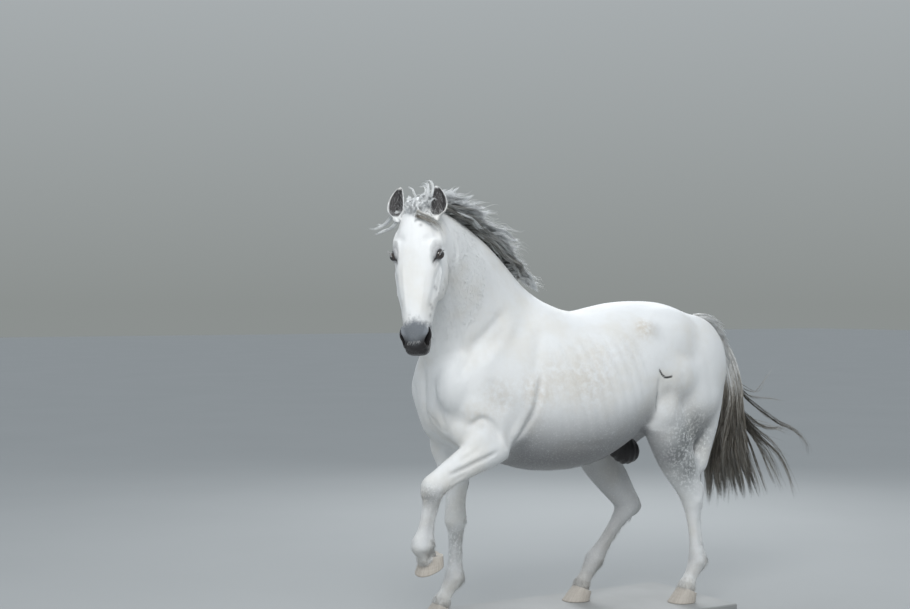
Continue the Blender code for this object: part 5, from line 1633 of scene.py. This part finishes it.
def fuzz_length(p):
    """The coat is shortest on the head, and shorter on the legs than on the trunk."""
    return np.where(on_head(p), 0.0048, np.where(p[:, 2] < 0.6, 0.006, 0.0085))


def feather_length(p):
    return np.full(len(p), 0.024)


def edge_length(p):
    return np.full(len(p), 0.013)


def feathered(p):
    """Where the longer hair grows: behind the fetlocks, thinly behind the cannons, and round the coronets."""
    found = np.zeros(len(p))
    for leg in LEGS.values():
        mid, fetlock, coronet = joints_of(leg, "knee" if "knee" in leg else "hock", "fetlock", "coronet")
        d, fwd, _ = leg_frame(mid, fetlock)
        q = p - fetlock
        behind = smooth(0.0, 0.03, -(q @ fwd))
        found = np.maximum(found, np.exp(-(np.linalg.norm(q + fwd * 0.035, axis=1) / 0.045) ** 2) * behind)
        found = np.maximum(found, 0.16 * behind * (np.linalg.norm(q, axis=1) < 0.30) * (q @ d < 0.02))
        ring = (np.linalg.norm(p - coronet, axis=1) - 0.045) / 0.016
        found = np.maximum(found, 0.45 * np.exp(-ring ** 2))
    return found


def outline_hair(sk):
    """Where hair breaks the outline: under the jaw, along the belly, at the near elbow and round the ears."""
    x, y, z = sk.co.T
    a, n, _ = head_place(sk.co)
    jaw = on_head(sk.co) * (a > 0) * smooth(-0.13, -0.20, n) * smooth(0.60, 0.45, a)
    belly = smooth(0.74, 0.69, z) * (z > 0.6) * (x > -0.6) * (x < 0.25) * (np.abs(y) < 0.2) * 0.5
    elbow = np.exp(-(np.linalg.norm(sk.co - (-0.44, -0.16, 0.79), axis=1) / 0.07) ** 2)
    rim = in_ear(sk.co) * 0.8 * (sk.masks["dark"] < 0.1)
    return jaw + belly + elbow + rim


def make_coat(sk, rng):
    """Fuzz over the whole body, and longer hair where it breaks the outline."""
    bare = 1 - np.clip(sk.masks["dark"] * 1.3 + sk.masks["muzzle"] * 0.7, 0, 1)
    thick = bare * np.where(on_head(sk.co) | (sk.co[:, 2] < 0.62), 2.2, 1.0)
    made = [tufts("coat_%d" % i, sk, 27000, rng, thick, fuzz_length, 0.0013, 0.15) for i in (1, 2, 3)]
    feathers = feathered(sk.co) * bare + 1e-9
    made.append(tufts("coat_fetlocks", sk, 4600, rng, feathers, feather_length, 0.0015, 0.30, k=4))
    edge = outline_hair(sk) * bare + 1e-9
    made.append(tufts("coat_edges", sk, 8000, rng, edge, edge_length, 0.0011, 0.30, k=3))
    made.append(ear_hair(sk, rng))
    made.append(whiskers(sk, rng))
    return made


def single_hairs(name, paths, root, grey, sk, rng):
    """Single hairs from the skin, all of one grey."""
    paths = np.array(paths)
    n, k, _ = paths.shape
    shades = {mask: np.zeros(n) for mask in sk.masks}
    shades["grey"] = np.full(n, grey)
    shades["rand"] = rng.random(n)
    return strands(name, paths, taper(n, k, root, 0.0003), tile(*chart_of(paths[:, 0])), shades)


def ear_hair(sk, rng):
    """Hair that fills the cup of each ear and fringes its rim."""
    paths = []
    for s in (-1, 1):
        _, up, face, wide = ear_frame(s)
        a, w, f = ear_space(sk.co, s)
        inside = (a > 0.006) & (a < 0.128) & (np.abs(w) < 0.045) & (np.abs(f) < 0.045)
        for i in rng.choice(np.flatnonzero(inside & (sk.no @ face > 0.05)), 260):
            d = unit(up * 0.75 + face * rng.uniform(0.25, 0.7) - wide * np.sign(w[i]) * rng.uniform(0.0, 0.6)
                     + rng.normal(0, 0.15, 3))
            size = rng.uniform(0.010, 0.026) * (1.15 - a[i] / 0.16)
            root = sk.co[i] - sk.no[i] * 0.001
            paths.append([root + d * size * t + up * 0.004 * t * t for t in (0, 0.5, 1.0)])
    return single_hairs("ear_hair", paths, 0.0010, 0.80, sk, rng)


def whiskers(sk, rng):
    """Feelers of the muzzle, and the lashes of the upper lids."""
    steps = (0, 0.33, 0.66, 1.0)
    paths = []
    muzzle = np.linalg.norm(sk.co - hp(0.60, -0.075), axis=1) < 0.085
    for i in rng.choice(np.flatnonzero(muzzle & (sk.masks["dark"] < 0.5)), 150):
        size = rng.uniform(0.008, 0.030)
        d = unit(sk.no[i] + H_A * 0.5 + rng.normal(0, 0.2, 3))
        root = sk.co[i] - sk.no[i] * 0.001
        paths.append([root + d * size * t - UP * 0.10 * size * t * t for t in steps])
    for s in (-1, 1):
        e, out, inner, up = eye_frame(s)
        for x in np.linspace(-0.92, 0.80, 74):
            way = unit(out * math.sqrt(1 - 0.5 * x * x) + inner * x * 0.70 + up * 0.42 * (1 - x * x))
            rim = e + way * (EYE_R + 0.0045)
            d = unit(out * 0.9 + up * rng.uniform(-0.25, 0.15) - inner * 0.25 + rng.normal(0, 0.08, 3))
            size = rng.uniform(0.010, 0.018)
            paths.append([rim + d * size * t + up * size * (0.30 * t * t) for t in steps])
    return single_hairs("whiskers", paths, 0.0007, 0.75, sk, rng)


# ---------------------------------------------------------------- eyes and hooves
def make_eye(s):
    """Eyeball with a clear bulge over the iris and the wide dark pupil of a horse."""
    e, out, inner, up = eye_frame(s)
    behind = 9.0                                    # a value past both edges, for the back of the ball
    bm = bmesh.new()
    bmesh.ops.create_icosphere(bm, subdivisions=5, radius=1.0)
    pupil, iris = [], []
    for v in bm.verts:
        q = np.array(v.co)
        face, x, y = q @ out, q @ inner, q @ up
        bulge = 0.0012 * math.exp(-(x * x / 0.36 + y * y / 0.30)) if face > 0 else 0.0
        v.co = Vector(e + q * (EYE_R + bulge))
        pupil.append(math.hypot(x / 0.40, y / 0.20) if face > 0 else behind)
        iris.append(math.hypot(x / 0.72, y / 0.62) if face > 0 else behind)
    ob = link("eyeball_left" if s > 0 else "eyeball_right", bm)
    tag(ob.data, "pupil", pupil)
    tag(ob.data, "iris", iris)
    shade_smooth(ob.data)
    return ob


HOOF_SEGMENTS = 96
HOOF_HALF = 0.064       # half its breadth
HOOF_FRONT = 0.074      # reach of the sole in front of its middle
HOOF_BACK = 0.052
HOOF_HIGH = 0.080       # at the toe
HOOF_HEEL = 0.45        # height of the heel as a share of that
HOOF_LEAN = 0.55
HOOF_RINGS = (          # height as a share and breadth as a share: the sole, the wall and the coronet
    (0.0, 0.55), (0.0, 0.90), (0.0, 0.975), (0.02, 0.992), (0.05, 1.0),
    *((t, 1.0) for t in np.linspace(0.09, 0.95, 22)),
    (0.985, 1.0), (1.0, 1.0), (1.0, 0.97), (0.97, 0.90),
)
SOLE_HOLLOW = (0.004, 0.0012)       # how far the two inner rings of the sole are hollowed


def make_hoof(name, leg):
    """The horn capsule with growth rings, a rounded lower edge and a concave coronet."""
    toe, down = hoof_frame(name)
    side = unit(np.cross(down, toe))
    sole = joints_of(leg, "sole")[0] + (0, 0, 0.0003)
    turn = 2 * math.pi * np.arange(HOOF_SEGMENTS) / HOOF_SEGMENTS
    cleft = 1 - 0.16 * np.exp(-((np.abs(turn - 1.5 * math.pi)) / 0.22) ** 2)        # between the heels
    rings = []
    for n, (t, shrink) in enumerate(HOOF_RINGS):
        ridge = 1 + 0.006 * math.sin(t * 34) * (0.1 < t < 0.93) + 0.002 * math.sin(t * 90)
        wide = HOOF_HALF * ((1 - 0.24 * t) * shrink) * ridge
        reach = (HOOF_FRONT * (1 - 0.34 * t) * shrink * ridge, HOOF_BACK * (1 - 0.08 * t) * shrink)
        ring = section(np.zeros(3), side, toe, (wide, wide), reach, (2.2, 2.6), HOOF_SEGMENTS)
        ring = ring * cleft[:, None]
        span = np.clip((ring @ toe / max(shrink, 0.5) + HOOF_BACK) / (HOOF_FRONT + HOOF_BACK), 0, 1)
        h = t * HOOF_HIGH * (HOOF_HEEL + (1 - HOOF_HEEL) * span)
        if n < len(SOLE_HOLLOW):
            h = h + SOLE_HOLLOW[n]
        rings.append(sole + ring - down * h[:, None] - toe * (h * HOOF_LEAN)[:, None])
    bm = bmesh.new()
    skin_rings(bm, rings)
    ob = link(name + "_horn", bm)
    level = np.repeat([t for t, _ in HOOF_RINGS], HOOF_SEGMENTS)
    around = np.concatenate((np.tile(turn, len(HOOF_RINGS)), (0.0, 0.0)))
    tag(ob.data, "level", np.concatenate((level, (0.0, 1.0))))
    tag(ob.data, "around", np.cos(around))
    tag(ob.data, "around2", np.sin(around))
    shade_smooth(ob.data)
    return ob


# ---------------------------------------------------------------- materials
class Shader:
    """A material's node tree, built with short calls."""

    def __init__(self, name, **uniform):
        self.mat = bpy.data.materials.new(name)
        self.mat.use_nodes = True
        self.tree = self.mat.node_tree
        self.bsdf = self.tree.nodes["Principled BSDF"]
        for key, value in uniform.items():
            self.bsdf.inputs[key.replace("_", " ")].default_value = value

    def feed(self, socket, value):
        """Link a socket to the output of another node, or give it a plain value."""
        if isinstance(value, bpy.types.NodeSocket):
            self.tree.links.new(value, socket)
        else:
            socket.default_value = value

    def node(self, kind, ins=None, **props):
        n = self.tree.nodes.new("ShaderNode" + kind)
        for key, value in props.items():
            setattr(n, key, value)
        for key, value in (ins or {}).items():
            self.feed(n.inputs[key], value)
        return n

    def math(self, op, a, b, clamp=False):
        return self.node("Math", {0: a, 1: b}, operation=op, use_clamp=clamp).outputs[0]

    def times(self, a, b):
        return self.math("MULTIPLY", a, b)

    def attr(self, name):
        return self.node("Attribute", attribute_name=name).outputs["Fac"]

    def place(self):
        return self.node("TexCoord").outputs["Object"]

    def noise(self, scale, detail=3.0, rough=0.5, where=None):
        ins = {"Scale": scale, "Detail": detail, "Roughness": rough, "Vector": where or self.place()}
        return self.node("TexNoise", ins).outputs["Fac"]

    def ramp(self, fac, low, high):
        """0 below low, 1 above high."""
        ins = {"Value": fac, "From Min": low, "From Max": high}
        return self.node("MapRange", ins, interpolation_type="SMOOTHSTEP", clamp=True).outputs["Result"]

    def mix(self, fac, a, b):
        """A colour socket or a plain colour a, with b over it where fac is 1."""
        n = self.node("Mix", data_type="RGBA")
        self.feed(n.inputs[0], fac)
        for i, colour in ((6, a), (7, b)):
            self.feed(n.inputs[i], (*colour, 1.0) if isinstance(colour, tuple) else colour)
        return n.outputs[2]

    def colour(self, socket):
        self.tree.links.new(socket, self.bsdf.inputs["Base Color"])

    def rough(self, socket):
        self.tree.links.new(socket, self.bsdf.inputs["Roughness"])

    def bump(self, *layers):
        """Each layer is a height socket, its distance in metres and its strength."""
        last = None
        for height, distance, strength in layers:
            ins = {"Height": height, "Distance": distance, "Strength": strength}
            if last:
                ins["Normal"] = last
            last = self.node("Bump", ins).outputs["Normal"]
        self.tree.links.new(last, self.bsdf.inputs["Normal"])


WHITE = (0.80, 0.81, 0.815)
BRIGHT = (0.92, 0.92, 0.91)             # the palest tufts
CREAM = (0.70, 0.665, 0.60)
SLATE = (0.120, 0.135, 0.155)           # the muzzle
TICKS = (0.45, 0.44, 0.43)              # pale hairs on the muzzle
# black skin, and the painted shade of the lip parting, the nostrils, the lower muzzle and the flank fold
BLACK_SKIN_AND_SHADE = (0.022, 0.020, 0.021)
# grey skin and hair, and the painted shade of creases, undersides and the off hind leg
SMOKE = (0.205, 0.205, 0.215)
ASH = (0.085, 0.095, 0.095)             # the dark specks
EARTH = (0.47, 0.385, 0.275)
MUD = (0.36, 0.30, 0.225)
EYE_BROWN = ((0.016, 0.009, 0.006), (0.045, 0.024, 0.014))
EYE_RIM = ((0.04, 0.032, 0.030), (0.09, 0.075, 0.070))
PUPIL = (0.004, 0.004, 0.005)
HORN = ((0.44, 0.395, 0.345), (0.60, 0.555, 0.50))
HORN_STREAK = (0.28, 0.245, 0.205)
HORN_RING = (0.30, 0.25, 0.19)
HORN_SOIL = (0.26, 0.225, 0.18)
HORN_TOP = (0.62, 0.58, 0.52)


def coat_material(name, tufts):
    """The coat's markings and painted shade from the masks; the skin under the tufts also has a rougher grain.
    """
    s = Shader(name, Roughness=0.62, Specular_IOR_Level=0.32, Sheen_Weight=0.22, Sheen_Roughness=0.45)
    broad = s.noise(5.0, 4.0, 0.55)
    fine = s.noise(120.0, 3.0, 0.6)
    blotch = s.noise(38.0, 4.0, 0.65)
    c = s.mix(s.times(s.ramp(broad, 0.42, 0.68), 0.45), WHITE, CREAM)
    stain = s.times(s.attr("stain"), s.ramp(blotch, 0.30, 0.66))
    c = s.mix(s.times(stain, 0.62), c, EARTH)
    dirt = s.times(s.attr("dirt"), s.ramp(s.noise(24.0, 5.0, 0.7), 0.28, 0.62))
    c = s.mix(s.times(dirt, 0.62), c, MUD)
    fleck = s.ramp(s.noise(170.0, 2.0, 0.8), 0.50, 0.60)
    patch = s.times(s.ramp(s.noise(62.0, 3.0, 0.7), 0.34, 0.56), 0.90)
    speck = s.times(s.attr("speck"), s.math("MAXIMUM", fleck, patch))
    c = s.mix(s.times(speck, 0.94), c, ASH)
    # grey: grey marks, and painted shade in creases, under the trunk and on the off hind leg
    grey = s.times(s.attr("grey"), s.ramp(fine, 0.05, 0.50))
    c = s.mix(grey, c, SMOKE)
    edge = s.math("ADD", s.attr("muzzle"), s.times(s.math("SUBTRACT", blotch, 0.5), 0.9))
    c = s.mix(s.times(s.ramp(edge, 0.18, 0.75), 0.93), c, SLATE)
    ticks = s.times(s.ramp(s.noise(260.0, 2.0, 0.6), 0.60, 0.70), s.attr("muzzle"))
    c = s.mix(s.times(ticks, 0.30), c, TICKS)
    # dark: black skin, and painted shade in the lip parting, nostrils, lower muzzle and flank fold
    dark = s.ramp(s.attr("dark"), 0.12, 0.85)
    c = s.mix(dark, c, BLACK_SKIN_AND_SHADE)
    if tufts:
        plain = s.math("SUBTRACT", 1.0, s.math("MAXIMUM", s.attr("muzzle"), dark), clamp=True)
        s.colour(s.mix(s.times(s.times(s.attr("rand"), plain), 0.28), c, BRIGHT))
        return s.mat
    s.colour(c)
    wet = s.times(s.ramp(s.attr("dark"), 0.3, 0.9), 0.24)
    s.rough(s.math("SUBTRACT", 0.64, wet))
    way = s.node("Attribute", attribute_name="lie").outputs["Vector"]      # the grain is drawn out along it
    where = s.place()
    down = s.node("VectorMath", {0: where, 1: way}, operation="DOT_PRODUCT").outputs["Value"]
    back = s.node("VectorMath", {0: way, "Scale": s.times(down, 0.86)}, operation="SCALE").outputs["Vector"]
    combed = s.node("VectorMath", {0: where, 1: back}, operation="SUBTRACT").outputs["Vector"]
    hair = s.noise(620.0, 2.0, 0.7, combed)
    clumps = s.noise(110.0, 3.0, 0.6, combed)
    soft = s.noise(26.0, 3.0, 0.55)
    s.bump((soft, 0.004, 0.20), (clumps, 0.0022, 0.30), (hair, 0.0009, 0.55))
    return s.mat


MANE_TINTS = ((0.100, 0.094, 0.084), (0.200, 0.196, 0.182), (0.360, 0.362, 0.352), (0.600, 0.618, 0.625),
              (0.840, 0.855, 0.865))
TAIL_TINTS = ((0.032, 0.027, 0.021), (0.080, 0.068, 0.054), (0.230, 0.208, 0.176), (0.560, 0.540, 0.500),
              (0.840, 0.850, 0.850))


def hair_material(name, tints):
    """Long hair: the tone of its lock picks a tint, darker at the root as painted shade, and paler toward the
    tip, partly the hair's own colour and partly painted light.
    """
    s = Shader(name, Roughness=0.46, Specular_IOR_Level=0.42, Sheen_Weight=0.15, Sheen_Roughness=0.4)
    tone = s.attr("tone")
    # paler toward the tip: partly painted light; darker at the root: painted shade
    along = s.ramp(s.attr("along"), 0.45, 1.0)
    root = s.ramp(s.attr("along"), 0.22, 0.0)
    level = s.math("ADD", tone, s.times(along, 0.30))
    level = s.math("SUBTRACT", level, s.times(root, 0.16))
    level = s.math("ADD", level, s.times(s.math("SUBTRACT", s.attr("rand"), 0.5), 0.42), clamp=True)
    ramp = s.node("ValToRGB", {"Fac": level})
    stops = ramp.color_ramp.elements
    stops[0].color = (*tints[0], 1)
    stops[1].color = (*tints[-1], 1)
    for at, tint in zip((0.25, 0.50, 0.75), tints[1:-1]):
        stops.new(at).color = (*tint, 1)
    s.colour(ramp.outputs["Color"])
    return s.mat


def eye_material():
    s = Shader("horse_eye", Roughness=0.06, Specular_IOR_Level=0.6, Coat_Weight=1.0, Coat_Roughness=0.02,
               IOR=1.40)
    veins = s.noise(420.0, 3.0, 0.6)
    iris = s.mix(veins, *EYE_BROWN)
    rim = s.mix(s.noise(200.0), *EYE_RIM)
    c = s.mix(s.ramp(s.attr("iris"), 0.98, 1.12), iris, rim)
    s.colour(s.mix(s.ramp(s.attr("pupil"), 1.12, 0.94), c, PUPIL))
    return s.mat


def hoof_material():
    """Grey-brown horn: streaks down the wall, rings round it, soil at the edge and a pale coronet."""
    s = Shader("hoof_horn", Roughness=0.48, Specular_IOR_Level=0.40)
    ins = {"X": s.attr("around"), "Y": s.attr("around2"), "Z": s.times(s.attr("level"), 0.10)}
    around = s.node("CombineXYZ", ins).outputs["Vector"]
    streak = s.noise(16.0, 4.0, 0.65, around)
    fine = s.noise(60.0, 3.0, 0.7, around)
    c = s.mix(s.ramp(streak, 0.25, 0.75), *HORN)
    c = s.mix(s.times(s.ramp(fine, 0.50, 0.70), 0.20), c, HORN_STREAK)
    upward = s.node("CombineXYZ", {"Z": s.times(s.attr("level"), 2.6)}).outputs["Vector"]
    rings = s.noise(9.0, 3.0, 0.6, upward)
    c = s.mix(s.times(s.ramp(rings, 0.45, 0.65), 0.22), c, HORN_RING)
    c = s.mix(s.times(s.ramp(s.attr("level"), 0.12, 0.0), 0.5), c, HORN_SOIL)
    s.colour(s.mix(s.times(s.ramp(s.attr("level"), 0.86, 0.97), 0.45), c, HORN_TOP))
    s.bump((rings, 0.0016, 0.5), (fine, 0.0006, 0.4))
    return s.mat


def base_material():
    s = Shader("base_paint", Roughness=0.55, Specular_IOR_Level=0.3)
    grain = s.noise(3.0, 5.0, 0.55)
    s.colour(s.mix(s.ramp(grain, 0.3, 0.7), (0.30, 0.305, 0.30), (0.34, 0.345, 0.34)))
    s.bump((s.noise(700.0, 2.0), 0.0004, 0.25))
    return s.mat


# ---------------------------------------------------------------- dressing the frame
FLESH = ["head", "neck", "trunk", "ear_left", "ear_right"]
FLESH += [leg + part for leg in LEGS
          for part in (("_forearm" if leg.startswith("fore") else "_gaskin"), "_cannon")]


def settle_in(ob, material, slot, *nodes):
    """Give a finished piece its material, move it to its place in the frame, hang it on the root, and hide the
    parts it stands for.
    """
    ob.data.materials.clear()
    ob.data.materials.append(material)
    put(ob.data, coords(ob.data) + PLACE)
    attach(ob, "root")
    if nodes:
        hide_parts(*nodes)


def write_masks(sk):
    """Give the skin its markings and its painted shade, and the way its coat lies."""
    me = sk.ob.data
    for mask, values in sk.masks.items():
        tag(me, mask, values)
    way = along_skin(lie(sk.co), sk.no).astype(np.float32)
    me.attributes.new("lie", "FLOAT_VECTOR", "POINT").data.foreach_set("vector", way.ravel())
    shade_smooth(me)


def dress():
    rng = np.random.default_rng(20)
    coat, fuzz = coat_material("coat_skin", False), coat_material("coat_hair", True)
    pale, brown = hair_material("mane_hair", MANE_TINTS), hair_material("tail_hair", TAIL_TINTS)
    sk = make_skin()
    write_masks(sk)
    for ob in make_coat(sk, rng):
        settle_in(ob, fuzz, "coat")
    white, temple = make_forelock(rng)
    hair = [("mane", ob, pale) for ob in make_mane(rng)]
    hair += [("forelock", white, pale), ("forelock", temple, brown)]
    hair += [("tail", ob, brown) for ob in make_tail(rng)]
    for node, ob, material in hair:
        settle_in(ob, material, "hair", node)
    eye, horn = eye_material(), hoof_material()
    for s, name in ((1, "eye_left"), (-1, "eye_right")):
        settle_in(make_eye(s), eye, "eye", name)
    for name, leg in LEGS.items():
        settle_in(make_hoof(name, leg), horn, "hoof", name + "_hoof")
    settle_in(sk.ob, coat, "coat", *FLESH)
    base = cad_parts["stand_base"]
    base.data.materials.clear()
    base.data.materials.append(base_material())


# ---------------------------------------------------------------- room, light and camera
CAMERA = (-3.929, -5.611, 1.43)         # in the horse's axes
AIM_LEFT = math.radians(4.534656)       # the camera looks this far to the left of the horse's middle
FOCAL = 57.36
FLOOR_REACH = 60.0
PAPER = ((0.36, 0.37, 0.37), (0.39, 0.40, 0.40))
SKY_LOW = (0.262, 0.280, 0.274)         # a soft sky: pale all round, bright overhead
SKY_HIGH = (0.72, 0.78, 0.84)


def floor():
    me = bpy.data.meshes.new("floor")
    corners = [(x * FLOOR_REACH, y * FLOOR_REACH, 0) for x, y in ((-1, -1), (1, -1), (1, 1), (-1, 1))]
    me.from_pydata(corners, [], [(0, 1, 2, 3)])
    s = Shader("floor_paper", Roughness=0.8, Specular_IOR_Level=0.2)
    s.colour(s.mix(s.noise(0.8, 3.0), *PAPER))
    me.materials.append(s.mat)
    add("floor", me)


def sky():
    world = bpy.data.worlds.new("studio")
    world.use_nodes = True
    tree = world.node_tree
    way = tree.nodes.new("ShaderNodeTexCoord")
    split = tree.nodes.new("ShaderNodeSeparateXYZ")
    ramp = tree.nodes.new("ShaderNodeValToRGB")
    background = tree.nodes["Background"]
    tree.links.new(way.outputs["Generated"], split.inputs[0])
    tree.links.new(split.outputs["Z"], ramp.inputs["Fac"])
    tree.links.new(ramp.outputs["Color"], background.inputs["Color"])
    stops = ramp.color_ramp.elements
    stops[0].position, stops[0].color = 0.0, (*SKY_LOW, 1)
    stops[1].position, stops[1].color = 0.75, (*SKY_HIGH, 1)
    background.inputs["Strength"].default_value = 1.0
    bpy.context.scene.world = world


def lamp(name, at, target, size, watts, colour):
    """A round soft light; at and target are in the horse's axes."""
    light = bpy.data.lights.new(name, "AREA")
    light.shape = "DISK"
    light.size = size
    light.energy = watts
    light.color = colour
    ob = add(name, light)
    at, target = Vector(at), Vector(target)
    ob.location = at + Vector(PLACE)
    ob.rotation_euler = (target - at).to_track_quat("-Z", "Y").to_euler()


def lights():
    lamp("key", (-2.6, -3.4, 4.4), (-0.1, 0, 1.1), 3.2, 160, (1.0, 1.0, 0.99))
    lamp("back", (2.8, 3.4, 3.6), (0.2, 0, 1.1), 2.6, 110, (0.96, 0.98, 1.0))
    lamp("fill", (-5.0, -1.5, 2.0), (-0.7, 0, 1.2), 1.8, 9, (0.97, 0.99, 1.0))


def camera():
    cam = bpy.data.cameras.new("camera")
    cam.sensor_width = 36.0
    cam.lens = FOCAL
    ob = add("camera", cam)
    ob.location = Vector(CAMERA) + Vector(PLACE)
    to_middle = Vector((-CAMERA[0], -CAMERA[1], 0)).normalized()
    look = Matrix.Rotation(AIM_LEFT, 3, "Z") @ to_middle
    ob.rotation_euler = look.to_track_quat("-Z", "Y").to_euler()
    bpy.context.scene.camera = ob


dress()
floor()
sky()
lights()
camera()
bpy.context.scene.view_settings.view_transform = "Standard"
